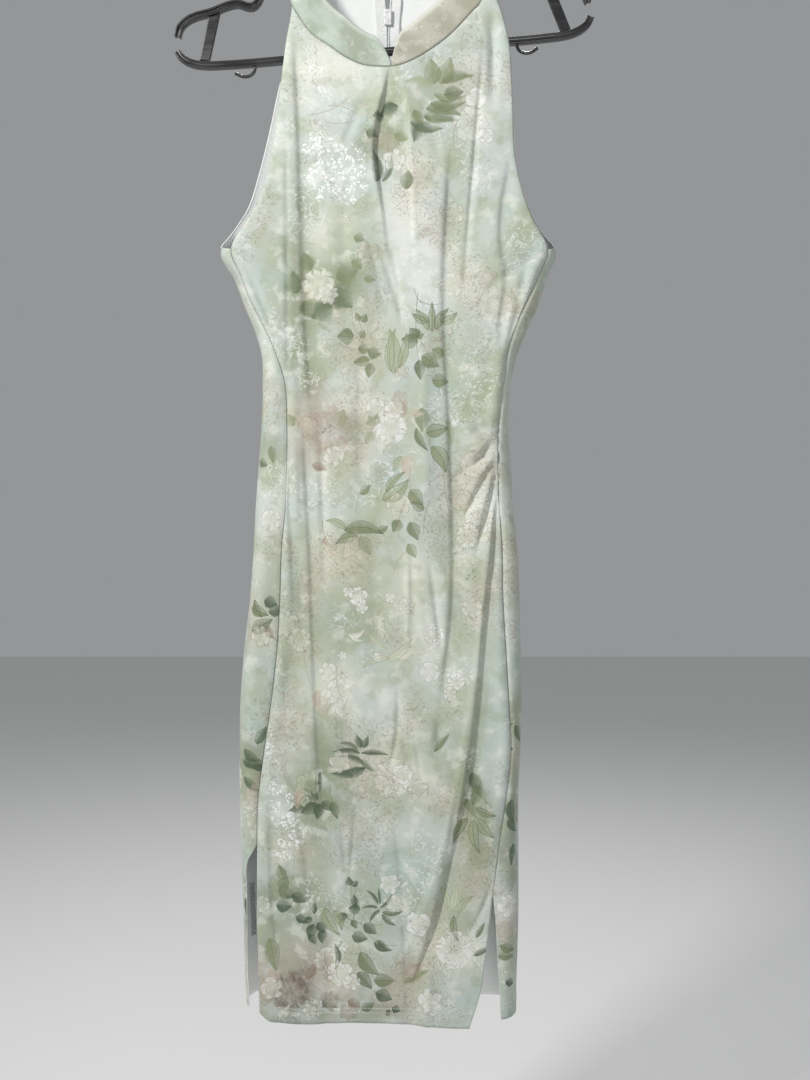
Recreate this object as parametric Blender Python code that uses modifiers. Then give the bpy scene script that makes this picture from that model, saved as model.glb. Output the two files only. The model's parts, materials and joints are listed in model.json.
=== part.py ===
"""Halter-neck cheongsam in stretch jersey, hanging flat on a plain trouser-bar hanger.

The origin is the inner top of the hanger's hook. The front faces -Y and +Z is up. Cloth tables
are in millimetres: x runs across from the garment's centre line, drop runs down from the hook and
depth runs back from the foremost cloth. Hanger tables use its own axes, u along and d down.
"""
import math

import bpy
import numpy as np

MM = 0.001
CENTRE_X = 18.0
HANGER_PLANE = 22.0
TILT = math.radians(4.8)

CLOTH_WALL = 1.6
COLLAR_WALL = 1.8
SEAM_GAP = 0.4
UNDERARM_DROP = 388.0
UNDERARM_GAP = 2.4
UNDERARM_GAP_END_DROP = 415.0
SLIT_DROP = 985.0
SLIT_TOP = {"left": 986.0, "right": 1034.0}
END_RADIUS = 18.0
FIRST_COLUMN = 0.25
SEAM_FADE = 12.0

FRONT_COLUMNS = 34
BACK_COLUMNS = 23
ROWS_ABOVE_UNDERARM = 10
ROWS_TO_SLIT = 18
ROWS_BELOW_SLIT = 6
ALL_ROWS = ROWS_ABOVE_UNDERARM + ROWS_TO_SLIT + ROWS_BELOW_SLIT
BACK_WRAP_SHARE = 0.45
MIDDLE_DENSITY = 0.2
COLLAR_ROWS = 3
COLLAR_BARE_COLUMNS = 8
COLLAR_BACK_COLUMNS = 6

CENTRE_BACK_X = -1.0
NECK_DEPTH = 47.0
UNDERARM_DEPTH = 45.0
CHAIN_HALF_GAP = 0.2
SLIDER_TOP_DROP = 127.0
SLIDER_LENGTH = 16.5
SLIDER_HALF_GAP = 1.6
NECK_HALF_GAP = 3.0
BACK_NECK_DROP = 108.0
TAPE_WIDTH = 12.0
TAPE_WALL = 0.8
TAPE_CLEARANCE = 0.45
TAPE_TOP_DROP = 110.0
TAPE_BOTTOM_DROP = 560.0
TAPE_COLUMNS = 2
TAPE_ROWS = 18


def table(columns, *rows):
    """A table as a dictionary of columns."""
    return dict(zip(columns.split(), np.array(rows, dtype=float).T))


# Outline of the flattened tube. Above the underarm only the front and fold columns are used.
SIDES = table(
    "drop fold_left back_left front_left front_right back_right fold_right depth",
    (95, -112, -96, -96, 98, 98, 111, 45),
    (120, -110, -96, -96, 102, 102, 115, 45),
    (145, -109, -96, -96, 112, 112, 125, 45),
    (180, -114, -102, -102, 121, 121, 134, 45),
    (220, -119, -107, -107, 124, 124, 137, 45),
    (247, -122, -110, -110, 125, 125, 138, 45),
    (300, -131, -118, -118, 128, 128, 141, 45),
    (340, -143, -130, -130, 138, 138, 151, 45),
    (360, -154, -141, -141, 146, 146, 158, 45),
    (388, -171, -157, -157, 160, 160, 171, 45),
    (415, -157, -148, -148, 151, 151, 161, 44),
    (441, -147, -138, -138, 139, 139, 153, 43),
    (465, -137, -125, -125, 128, 128, 142, 42),
    (492, -129, -113, -113, 120, 120, 131, 41),
    (519, -128, -104, -104, 117, 117, 125, 40),
    (563, -129, -101, -101, 111, 111, 122, 40),
    (603, -132, -101, -101, 110, 110, 125, 41),
    (643, -135, -102, -102, 111, 111, 127, 42),
    (683, -137, -106, -106, 114, 114, 131, 43),
    (737, -141, -108, -108, 115, 115, 134, 45),
    (790, -147, -111, -111, 118, 118, 135, 46),
    (843, -151, -117, -117, 121, 121, 136, 47),
    (892, -152, -124, -124, 123, 123, 135, 48),
    (940, -152, -130, -130, 118, 118, 133, 49),
    (985, -151, -131, -131, 111, 111, 133, 50),
    (1003, -150, -141, -131, 109, 109, 133, 50),
    (1033, -149, -142, -131, 105, 105, 133, 50),
    (1060, -148, -142, -131, 102, 107, 133, 50),
    (1100, -147, -142, -130, 97, 109, 132, 51),
    (1130, -146, -141, -129, 93, 111, 131, 51),
    (1170, -144, -140, -128, 81, 113, 131, 52),
)

NECK_SEAM = table(
    "x drop",
    (-96, 145), (-79, 170), (-58, 186), (-44, 195.5), (-25, 204), (-10, 206), (1, 206),
    (14, 204), (28, 198), (47, 186), (57, 179), (71, 166), (85, 150.5), (92, 143), (102, 120),
)
FRONT_HEM = table(
    "share drop",
    (0, 1153), (0.04, 1161), (0.1, 1163), (0.45, 1163), (0.64, 1164), (0.87, 1168), (1, 1169),
)
BACK_HEM = table("x drop", (-150, 1150), (0, 1155), (140, 1160))
HEM_FOLD_DROP = 1150.0

# The free edge of each back panel down to the underarm: how far round the tube's end it lies.
BACK_ARMHOLE = {
    "left": table(
        "drop degrees",
        (96, 176), (110, 176), (140, 164), (180, 156), (214, 150), (247, 144), (280, 138), (320, 131),
        (345, 123), (362, 110), (376, 92), (384, 66), (388, 22),
    ),
    "right": table(
        "drop degrees",
        (96, 176), (110, 174), (140, 162), (180, 152), (214, 148), (247, 144), (280, 138), (320, 131),
        (345, 123), (362, 110), (376, 92), (384, 68), (388, 31),
    ),
}
ARMHOLE_ROW_POWER = 1.7
WRAP_BLEND_DROP = 330.0
BACK_NECK = {
    "left": table("x drop depth", (-88, 108.5, 40), (-60, 108.3, 44), (-30, 108, 46), (-4, 108, 47)),
    "right": table("x drop depth", (92, 96.5, 40), (62, 101, 44), (30, 105.5, 46), (2, 108, 47)),
}

# The collar's lower edge where it is bare, from the front panel's corner to the back panel's.
COLLAR_BARE_LEFT = table(
    "x drop depth lean height",
    (-96, 144.6, 3.2, 0.6, 35), (-101, 127, 6, 0.5, 36), (-103.2, 113, 10.5, 0.4, 37),
    (-103.5, 106.2, 15.5, 0.3, 38), (-103.5, 106.0, 22, 0.3, 38), (-103, 106.2, 28, 0.3, 38),
    (-98, 107.4, 35.5, 0.2, 38), (-88, 108.1, 40, 0.1, 38),
)
COLLAR_BARE_RIGHT = table(
    "x drop depth lean height",
    (102, 119.6, 3.2, 0.5, 35), (104, 110, 6, 0.45, 36), (104.8, 100, 10.5, 0.4, 37),
    (104.5, 94.7, 15.5, 0.3, 38), (104.3, 94.4, 22, 0.3, 38), (104, 94.6, 28, 0.3, 38),
    (100, 95.6, 35.5, 0.2, 38), (92, 96.1, 40, 0.1, 38),
)
COLLAR_FRONT_LEFT = table(
    "reach lean height", (0, 0, 33), (25, 0.13, 33), (44, 0.42, 33), (80, 0.62, 35), (97, 0.6, 35),
)
COLLAR_FRONT_RIGHT = table(
    "reach lean height",
    (0, 0, 36), (13, 0.03, 36), (27, 0.19, 36), (46, 0.39, 36), (70, 0.58, 36), (101, 0.5, 35),
)
COLLAR_ROUNDING = {"left": 26.0, "right": 15.0}
COLLAR_END_RISE = 1.5
COLLAR_HEIGHT = 38.0
COLLAR_BACK_LEAN = 3.0
COLLAR_CENTRE_GAP = 1.0
COLLAR_SEAM_GAP = 0.6

# Soft folds: a line through its points, half its width, and how far it sinks inward.
FRONT_FOLDS = (
    (9, 5, table("drop x", (160, -95), (220, -91), (353, -86), (447, -83), (560, -75))),
    (7, 4, table("drop x", (555, -85), (710, -77), (820, -73), (904, -69), (985, -62))),
    (10, 6, table("drop x", (280, 64), (433, 57), (600, 64), (740, 65), (860, 52))),
    (7, 4, table("drop x", (280, 126), (375, 113), (420, 118), (460, 113), (520, 117))),
    (9, 6, table("drop x", (690, 108), (760, 106), (817, 101), (892, 89), (1000, 68), (1140, 22))),
    (9, -3, table("drop x", (640, 99), (723, 96), (817, 87), (892, 75), (1000, 52), (1130, 4))),
    (14, -3, table("drop x", (660, 32), (720, 30), (800, 38))),
    (7, 3, table("drop x", (860, -118), (935, -94), (976, -87), (1060, -74))),
    (6, 3, table("drop x", (940, -119), (1060, -114), (1130, -104))),
    (8, 3, table("drop x", (940, 4), (1036, 14), (1190, 21))),
    (6, 3, table("drop x", (570, 108), (590, 96), (612, 80))),
    (6, 3, table("drop x", (600, 109), (640, 101), (700, 88))),
)
BACK_FOLDS = (
    (10, 5, table("drop x", (200, -62), (360, -58), (560, -66))),
    (11, 5, table("drop x", (230, 58), (420, 50), (640, 62))),
    (9, 4, table("drop x", (600, -84), (760, -78), (960, -88))),
    (10, 5, table("drop x", (640, 84), (820, 72), (1040, 52))),
    (8, -3, table("drop x", (560, 28), (700, 24), (860, 34))),
    (8, 4, table("drop x", (860, -40), (1000, -34), (1190, -30))),
)

# The inverted box pleat: the two pressed edges that part below the neck seam.
PLEAT = table(
    "drop left right sink",
    (205, 0, 4, 0), (225, -4, 14, 3), (245, -9, 19, 5), (265, -13, 21, 5), (289, -15, 22, 5),
    (321, -11, 24, 4), (353, -6, 25, 2.5), (393, -2, 27, 1), (430, 2, 28, 0),
)
PLEAT_SOFTNESS = 4.0

HOOK_RADIUS = 22.0
HOOK_ROD = 3.5
HOOK_TURNS = (20, -196, -12)
HOOK_SHANK = ((0, 65.7), (0, 59.7), (3, 54), (16, 43))
HUB_SIZE = (22.0, 7.0, 17.0)
HUB_TOP = 66.0
HUB_EDGE = 1.5
ARM_ROD = 3.5
ARM_ROUTE = table(
    "u d",
    (12.5, 79.4), (40, 87.5), (80, 99.5), (112, 109), (117, 110.5), (121.5, 114), (126, 121),
    (131, 124.7), (136, 124.7), (141, 122.5), (146, 120.6), (152, 121), (176, 127.5), (190, 130),
    (200, 134), (207, 140.5), (210.3, 149),
)
BAR_ROD = 3.6
BAR_ROUTE = table(
    "u d",
    (0, 182), (100, 182), (165, 181.7), (183, 180.8), (194, 178.8), (203, 174.8), (209, 169.5),
    (211.5, 164.5),
)
ROD_STEP = 5.0
ROD_SIDES_STEP = 2
BAR_STEP = 9.0
TAB_STEP = 3.0
STRUT_TOP = (171.0, 130.2)
STRUT_BOTTOM = (185.0, 175.9)
STRUT_WIDTH = 11.0
STRUT_THICKNESS = 3.0
STRUT_TOP_SLOPE = 0.62
STRUT_BOTTOM_SLOPE = 0.05
TAB_ROD = 1.6
TAB_ROUTE = table("u d", (134, 186.7), (135.5, 190.8), (140, 194.5), (147, 195), (155, 191))

PULL_AXIS = (130.7, 50.0)
PULL_SIZE = (5.5, 1.0, 20.0)
PULL_BAR = 1.0
PULL_WINDOW = (2.5, 3.7)
BAIL_SIZE = (1.4, 3.8, 5.0)
BAIL_WINDOW = 1.9
SLIDER_BODY = (8.0, 3.0, SLIDER_LENGTH)
SLIDER_BODY_DEPTH = 42.2
SLIDER_NECK = (1.0, 4.0)
NECK_OVERLAP = 0.7


def along(columns, key, name, place):
    """Read a column at places along the key column, on a smooth curve through its rows."""
    keys = columns[key]
    values = columns[name]
    slopes = np.gradient(values, keys)
    place = np.clip(place, keys.min(), keys.max())
    row = np.clip(np.searchsorted(keys, place) - 1, 0, len(keys) - 2)
    gap = keys[row + 1] - keys[row]
    t = (place - keys[row]) / gap
    rise = values[row + 1] - values[row]
    near = slopes[row] * gap
    far = slopes[row + 1] * gap
    return values[row] + t * near + t * t * (3 * rise - 2 * near - far) + t ** 3 * (near + far - 2 * rise)


def chord_shares(columns, names):
    """How far along its own length each row of a route lies, from 0 to 1."""
    points = np.stack([columns[name] for name in names])
    steps = np.sqrt((np.diff(points, axis=1) ** 2).sum(axis=0))
    travelled = np.concatenate([[0.0], np.cumsum(steps)])
    return travelled / travelled[-1]


def route(columns, names, shares):
    """Points on the smooth curve through a table's rows, at shares of its length."""
    keyed = dict(columns, share=chord_shares(columns, names))
    return np.stack([along(keyed, "share", name, shares) for name in names])


def smoothstep(low, high, value):
    t = np.clip((value - low) / (high - low), 0.0, 1.0)
    return t * t * (3 - 2 * t)


def side(name, drop):
    return along(SIDES, "drop", name, drop)


def front_depth(x, drop):
    """How far back the flattened tube's front lies, rounding away at both ends."""
    half = side("depth", drop) / 2
    tuck = np.zeros_like(x)
    for which, sign in (("left", -1), ("right", 1)):
        inside = sign * (side("fold_" + which, drop) - x)
        lean = np.clip((END_RADIUS - inside) / END_RADIUS, 0.0, 1.0)
        tuck = np.maximum(tuck, half * (1 - np.sqrt(1 - lean ** 2)))
    return tuck


def fold_sink(x, drop, folds):
    """The sum of the soft folds: positive sinks inward."""
    total = np.zeros_like(x)
    for width, sink, line in folds:
        start = line["drop"][0]
        end = line["drop"][-1]
        taper = min(60.0, (end - start) / 3)
        strength = smoothstep(start, start + taper, drop) * (1 - smoothstep(end - taper, end, drop))
        across = (x - along(line, "drop", "x", drop)) / width
        total = total + sink * strength * np.exp(-across ** 2)
    return total


def pleat_sink(x, drop):
    left = along(PLEAT, "drop", "left", drop)
    right = along(PLEAT, "drop", "right", drop)
    opening = smoothstep(left, left + PLEAT_SOFTNESS, x) * (1 - smoothstep(right - PLEAT_SOFTNESS, right, x))
    return opening * along(PLEAT, "drop", "sink", drop)


def denser_middle(share):
    return share + MIDDLE_DENSITY * np.sin(2 * math.pi * share) / (2 * math.pi)


def snug(share, columns, both_sides=False):
    """Draw the first column in towards the seam, so that both walls leave it square."""
    sides = 2 if both_sides else 1
    drawn = (share * columns - (1 - FIRST_COLUMN)) / (columns - sides * (1 - FIRST_COLUMN))
    near = share * columns * FIRST_COLUMN / (columns - sides * (1 - FIRST_COLUMN))
    drawn = np.maximum(drawn, near)
    if both_sides:
        far = 1 - (1 - share) * columns * FIRST_COLUMN / (columns - sides * (1 - FIRST_COLUMN))
        drawn = np.minimum(drawn, far)
    return drawn


def patch(across, down, left, right, top, bottom):
    """A point grid between four boundary curves, each a function of its own share."""
    start = np.zeros(1)
    end = np.ones(1)
    corners = (
        (1 - down) * (1 - across) * top(start) + (1 - down) * across * top(end)
        + down * (1 - across) * bottom(start) + down * across * bottom(end)
    )
    sides = (1 - across) * left(down) + across * right(down)
    return sides + (1 - down) * top(across) + down * bottom(across) - corners


def upper_share(share_down):
    """Turn a share of all rows into a share of those above the underarm."""
    return np.clip(share_down * ALL_ROWS / ROWS_ABOVE_UNDERARM, 0.0, 1.0)


def lower_drop(share_down, hem):
    """The drop of a row below the underarm. Front and back share their rows down to the slit."""
    row = share_down * ALL_ROWS - ROWS_ABOVE_UNDERARM
    to_slit = np.clip(row / ROWS_TO_SLIT, 0.0, 1.0)
    past_slit = np.clip((row - ROWS_TO_SLIT) / ROWS_BELOW_SLIT, 0.0, 1.0)
    return UNDERARM_DROP + (SLIT_DROP - UNDERARM_DROP) * to_slit + (hem - SLIT_DROP) * past_slit


def front_point(share_across, share_down):
    """The front panel's print side as x, drop and depth."""
    across = denser_middle(snug(share_across, FRONT_COLUMNS, both_sides=True))
    upper = upper_share(share_down)

    def armhole(which, corner_drop):
        def edge(down):
            drop = corner_drop + (UNDERARM_DROP - corner_drop) * down
            return np.stack([side("front_" + which, drop), drop])
        return edge

    def neck(at):
        x = NECK_SEAM["x"][0] + (NECK_SEAM["x"][-1] - NECK_SEAM["x"][0]) * at
        return np.stack([x, along(NECK_SEAM, "x", "drop", x)])

    def underarm(at):
        level = np.full_like(at, UNDERARM_DROP)
        left = side("front_left", level)
        return np.stack([left + (side("front_right", level) - left) * at, level])

    x, drop = patch(across, upper, armhole("left", NECK_SEAM["drop"][0]),
                    armhole("right", NECK_SEAM["drop"][-1]), neck, underarm)
    hem = along(FRONT_HEM, "share", "drop", across)
    skirt_drop = lower_drop(share_down, hem)
    left = side("front_left", skirt_drop)
    skirt_x = left + (side("front_right", skirt_drop) - left) * across
    x = np.where(upper < 1, x, skirt_x)
    drop = np.where(upper < 1, drop, skirt_drop)
    edge_reach = np.minimum(across, 1 - across) * (side("front_right", drop) - side("front_left", drop))
    free = smoothstep(0.0, SEAM_FADE, edge_reach)
    sink = (fold_sink(x, drop, FRONT_FOLDS) + pleat_sink(x, drop)) * free
    return np.stack([x, drop, front_depth(x, drop) + sink])


def zip_half_gap(drop):
    """Half the gap between the back panels: closed below the slider, parting above it."""
    slider_bottom = SLIDER_TOP_DROP + SLIDER_LENGTH
    return np.interp(drop, [BACK_NECK_DROP, SLIDER_TOP_DROP, slider_bottom],
                     [NECK_HALF_GAP, SLIDER_HALF_GAP, CHAIN_HALF_GAP])


def centre_back(drop, sign):
    depth = np.where(drop < UNDERARM_DROP,
                     np.interp(drop, [BACK_NECK_DROP, UNDERARM_DROP], [NECK_DEPTH, UNDERARM_DEPTH]),
                     side("depth", drop))
    return np.stack([CENTRE_BACK_X + sign * zip_half_gap(drop), drop, depth])


def edge_travel(drop, which, sign):
    """How far round a back panel's seam or slit edge lies from the start of the tube's end."""
    edge = np.where(drop < SLIT_TOP[which], side("front_" + which, drop), side("back_" + which, drop))
    past = sign * (edge - side("fold_" + which, drop)) + END_RADIUS
    return np.minimum(past, 0.0) + END_RADIUS * np.arcsin(np.clip(past / END_RADIUS, 0.0, 1.0))


def back_level(outward, drop, begin, which, sign):
    """One level of a back panel, from where it begins on the tube's end (0) to centre back (1)."""
    half = side("depth", drop) / 2
    tangent = side("fold_" + which, drop) - sign * END_RADIUS
    centre = centre_back(drop, sign)
    arc = END_RADIUS * math.pi - begin
    even_share = arc / (arc + np.abs(centre[0] - tangent))
    wrap = even_share + (BACK_WRAP_SHARE - even_share) * smoothstep(WRAP_BLEND_DROP, UNDERARM_DROP, drop)
    turn = np.clip(outward / wrap, 0.0, 1.0)
    run = np.clip((outward - wrap) / (1 - wrap), 0.0, 1.0)
    travelled = begin + arc * turn
    angle = np.maximum(travelled, 0.0) / END_RADIUS
    x = tangent + sign * np.minimum(travelled, 0.0)
    x = x + sign * END_RADIUS * np.sin(angle) + (centre[0] - tangent) * run
    depth = half * (1 - np.cos(angle)) + (centre[2] - 2 * half) * run
    free = smoothstep(0.0, 0.25, run) * (1 - smoothstep(0.8, 1.0, run))
    depth = depth - fold_sink(x, drop, BACK_FOLDS) * free
    return np.stack([x, drop, depth])


def back_point(outward, share_down, which):
    """A back panel's print side as x, drop and depth, from its front edge (0) to centre back (1)."""
    sign = {"left": -1, "right": 1}[which]
    outward = snug(outward, BACK_COLUMNS)
    upper = upper_share(share_down)
    neck = route(BACK_NECK[which], ("x", "drop", "depth"), outward)
    eased = 1 - (1 - upper) ** ARMHOLE_ROW_POWER
    drop = neck[1] + (UNDERARM_DROP - neck[1]) * eased
    begin = END_RADIUS * np.radians(along(BACK_ARMHOLE[which], "drop", "degrees", drop))
    above = back_level(outward, drop, begin, which, sign)
    top_begin = END_RADIUS * np.radians(along(BACK_ARMHOLE[which], "drop", "degrees", neck[1]))
    top = back_level(outward, neck[1], top_begin, which, sign)
    above = above + (neck - top) * (1 - upper) ** 2
    hem_edge = along(BACK_HEM, "x", "drop", side("fold_" + which, np.full_like(outward, HEM_FOLD_DROP)))
    hem_centre = along(BACK_HEM, "x", "drop", np.full_like(outward, CENTRE_BACK_X))
    drop = lower_drop(share_down, hem_edge + (hem_centre - hem_edge) * outward)
    seam_gap = np.interp(drop, [UNDERARM_DROP, UNDERARM_GAP_END_DROP], [UNDERARM_GAP, SEAM_GAP])
    below = back_level(outward, drop, edge_travel(drop, which, sign) + seam_gap, which, sign)
    return np.where(upper < 1, above, below)


def collar_edge(which):
    """The collar's lower edge from centre front round to centre back: points, lean and height."""
    sign = {"left": -1, "right": 1}[which]
    front_rows = {"left": COLLAR_FRONT_LEFT, "right": COLLAR_FRONT_RIGHT}[which]
    bare_rows = {"left": COLLAR_BARE_LEFT, "right": COLLAR_BARE_RIGHT}[which]
    half = FRONT_COLUMNS // 2
    columns = np.arange(half + 1) / FRONT_COLUMNS
    shares = 0.5 + sign * columns
    seam = front_point(shares, np.zeros_like(shares))
    middle = seam[0][0]
    reach = np.abs(seam[0] - middle)
    seam[0][0] = middle + sign * COLLAR_CENTRE_GAP
    rounding = COLLAR_ROUNDING[which]
    corner = np.clip(1 - (reach + COLLAR_END_RISE) / rounding, 0.0, 1.0)
    lean = -sign * along(front_rows, "reach", "lean", reach)
    height = along(front_rows, "reach", "height", reach) * np.sqrt(1 - corner ** 2)
    tilt = np.sqrt(1 + lean ** 2)
    seam[0] = seam[0] + lean * COLLAR_SEAM_GAP / tilt
    seam[1] = seam[1] - COLLAR_SEAM_GAP / tilt
    bare_shares = np.arange(1, COLLAR_BARE_COLUMNS + 1) / COLLAR_BARE_COLUMNS
    names = ("x", "drop", "depth", "lean", "height")
    keyed = dict(bare_rows, share=chord_shares(bare_rows, names[:3]))
    bare = np.stack([along(keyed, "share", name, bare_shares) for name in names])
    back_shares = np.arange(1, COLLAR_BACK_COLUMNS + 1) / COLLAR_BACK_COLUMNS
    back = route(BACK_NECK[which], names[:3], back_shares)
    back[1] = back[1] - SEAM_GAP
    points = np.concatenate([seam, bare[:3], back], axis=1)
    back_lean = bare[3][-1] * (1 - back_shares)
    leans = np.concatenate([lean, -sign * bare[3], -sign * back_lean])
    heights = np.concatenate([height, bare[4], np.full_like(back_shares, bare[4][-1])])
    return points, leans, heights


def collar_point(which):
    """A function that places the collar half's print side for a grid's shares."""
    points, leans, heights = collar_edge(which)
    last = points.shape[1] - 1

    def place(share_across, share_down):
        around = share_across if which == "right" else 1 - share_across
        column = np.rint(around * last).astype(int)
        up = heights[column] * (1 - share_down)
        slope = np.sqrt(1 + leans[column] ** 2)
        x, drop, depth = points[:, column]
        inward = COLLAR_BACK_LEAN * (1 - 2 * depth / NECK_DEPTH) * up / COLLAR_HEIGHT
        return np.stack([x + leans[column] * up / slope, drop - up / slope, depth + inward])

    return place, last


def tape_point(which):
    """The zip tape, lying just inside the back panel beside the centre back."""
    sign = {"left": -1, "right": 1}[which]

    def place(share_across, share_down):
        outward = share_across if sign < 0 else 1 - share_across
        drop = TAPE_TOP_DROP + (TAPE_BOTTOM_DROP - TAPE_TOP_DROP) * share_down
        centre = centre_back(drop, sign)
        depth = centre[2] - CLOTH_WALL - TAPE_CLEARANCE
        return np.stack([centre[0] + sign * TAPE_WIDTH * outward, drop, depth])

    return place


def world(points):
    x, drop, depth = points
    return np.stack([(x + CENTRE_X) * MM, (depth - HANGER_PLANE) * MM, -drop * MM])


def material(name, colour, roughness):
    new = bpy.data.materials.new(name)
    new.use_nodes = True
    shader = new.node_tree.nodes["Principled BSDF"]
    shader.inputs["Base Color"].default_value = (*colour, 1.0)
    shader.inputs["Roughness"].default_value = roughness
    shader.inputs["Metallic"].default_value = 0.0
    return new


def finish(piece, name, colour, roughness):
    piece.name = name
    piece.data.name = name
    piece.data.materials.append(material(name, colour, roughness))
    for holder in list(piece.users_collection):
        holder.objects.unlink(piece)
    bpy.data.collections["cheongsam"].objects.link(piece)
    return piece


def cloth(name, columns, rows, place, wall, colour, roughness=0.85):
    """A grid moved onto a surface and thickened inward. Shares run left to right and top to bottom."""
    bpy.ops.mesh.primitive_grid_add(x_subdivisions=columns, y_subdivisions=rows, size=1.0)
    piece = bpy.context.object
    flat = np.empty(len(piece.data.vertices) * 3)
    piece.data.vertices.foreach_get("co", flat)
    flat = flat.reshape(-1, 3)
    points = world(place(flat[:, 0] + 0.5, 0.5 - flat[:, 1]))
    piece.data.vertices.foreach_set("co", points.T.ravel())
    piece.data.shade_smooth()
    piece.data.update()
    shell = piece.modifiers.new("wall", "SOLIDIFY")
    shell.thickness = wall * MM
    shell.offset = -1.0
    return finish(piece, name, colour, roughness)


def hanger_point(u, d):
    """A place on the tilted hanger, in metres."""
    x = u * math.cos(TILT) + d * math.sin(TILT)
    drop = d * math.cos(TILT) - u * math.sin(TILT)
    return (x * MM, 0.0, -drop * MM)


def rod(name, columns, sign, radius, spacing, both_ways=False):
    """A moulded rod along a route in the hanger's axes, mirrored by the sign."""
    length = np.sqrt(np.diff(columns["u"]) ** 2 + np.diff(columns["d"]) ** 2).sum()
    steps = max(2, int(length / spacing))
    path = route(columns, ("u", "d"), np.linspace(0, 1, steps + 1)).T
    points = [(sign * u, d) for u, d in path]
    if both_ways:
        points = [(-u, d) for u, d in points[:0:-1]] + points
    curve = bpy.data.curves.new(name, "CURVE")
    curve.dimensions = "3D"
    spline = curve.splines.new("POLY")
    spline.points.add(len(points) - 1)
    for point, (u, d) in zip(spline.points, points):
        point.co = (*hanger_point(u, d), 1.0)
    curve.bevel_depth = radius * MM
    curve.bevel_resolution = ROD_SIDES_STEP
    curve.use_fill_caps = True
    piece = bpy.data.objects.new(name, curve)
    bpy.context.scene.collection.objects.link(piece)
    return finish(piece, name, HANGER_COLOUR, 0.35)


def box(name, size, centre, colour, roughness, bevel=0.0):
    """A block from its size and centre in millimetres, world axes."""
    bpy.ops.mesh.primitive_cube_add(size=1.0)
    piece = bpy.context.object
    for vertex in piece.data.vertices:
        vertex.co = [vertex.co[axis] * size[axis] * MM for axis in range(3)]
    piece.location = [value * MM for value in centre]
    if bevel:
        rounded = piece.modifiers.new("edges", "BEVEL")
        rounded.width = bevel * MM
        rounded.segments = 2
    return finish(piece, name, colour, roughness)


def as_cutter(piece):
    piece.hide_render = True
    piece.display_type = "WIRE"
    bpy.data.collections["cheongsam"].objects.unlink(piece)
    bpy.data.collections["cutters"].objects.link(piece)
    return piece


def combine(piece, tool, operation):
    step = piece.modifiers.new(operation.lower(), "BOOLEAN")
    step.object = as_cutter(tool)
    step.operation = operation
    step.solver = "EXACT"


PRINT_COLOUR = (0.62, 0.70, 0.62)
COLLAR_COLOUR = (0.50, 0.52, 0.42)
ZIP_COLOUR = (0.85, 0.85, 0.84)
HANGER_COLOUR = (0.012, 0.012, 0.014)


def build_cloth():
    cloth("front", FRONT_COLUMNS, ALL_ROWS, front_point, CLOTH_WALL, PRINT_COLOUR)
    cloth("back_left", BACK_COLUMNS, ALL_ROWS,
          lambda across, down: back_point(1 - across, down, "left"), CLOTH_WALL, PRINT_COLOUR)
    cloth("back_right", BACK_COLUMNS, ALL_ROWS,
          lambda across, down: back_point(across, down, "right"), CLOTH_WALL, PRINT_COLOUR)
    for which in ("left", "right"):
        place, columns = collar_point(which)
        cloth("collar_" + which, columns, COLLAR_ROWS, place, COLLAR_WALL, COLLAR_COLOUR)


def build_zip():
    for which in ("left", "right"):
        cloth("zip_tape_" + which, TAPE_COLUMNS, TAPE_ROWS, tape_point(which), TAPE_WALL, ZIP_COLOUR)
    centre_x = CENTRE_X + CENTRE_BACK_X
    axis_drop, axis_depth = PULL_AXIS
    axis_y = axis_depth - HANGER_PLANE
    body_y = SLIDER_BODY_DEPTH - HANGER_PLANE
    slider = box("zip_slider", SLIDER_BODY,
                 (centre_x, body_y, -SLIDER_TOP_DROP - SLIDER_LENGTH / 2), ZIP_COLOUR, 0.4)
    neck_length = axis_y - body_y
    neck = box("slider_neck", (SLIDER_NECK[0], neck_length, SLIDER_NECK[1]),
               (centre_x, body_y + neck_length / 2 - NECK_OVERLAP, -axis_drop), ZIP_COLOUR, 0.4)
    bail = box("slider_bail", BAIL_SIZE, (centre_x, axis_y, -axis_drop), ZIP_COLOUR, 0.4)
    window = box("bail_window", (3 * BAIL_SIZE[0], BAIL_WINDOW, BAIL_WINDOW), (centre_x, axis_y, -axis_drop),
                 ZIP_COLOUR, 0.4)
    combine(slider, neck, "UNION")
    combine(slider, bail, "UNION")
    combine(slider, window, "DIFFERENCE")
    width, thickness, length = PULL_SIZE
    hinge = bpy.data.objects.new("pull_axis", None)
    hinge.location = (centre_x * MM, axis_y * MM, -axis_drop * MM)
    bpy.data.collections["cheongsam"].objects.link(hinge)
    pull = box("zip_pull", PULL_SIZE, (0, 0, PULL_BAR / 2 - length / 2), ZIP_COLOUR, 0.4)
    window_width, window_length = PULL_WINDOW
    slot = box("pull_window", (window_width, 4 * thickness, window_length),
               (0, 0, -PULL_BAR / 2 - window_length / 2), ZIP_COLOUR, 0.4)
    pull.parent = hinge
    slot.parent = hinge
    combine(pull, slot, "DIFFERENCE")


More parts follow.
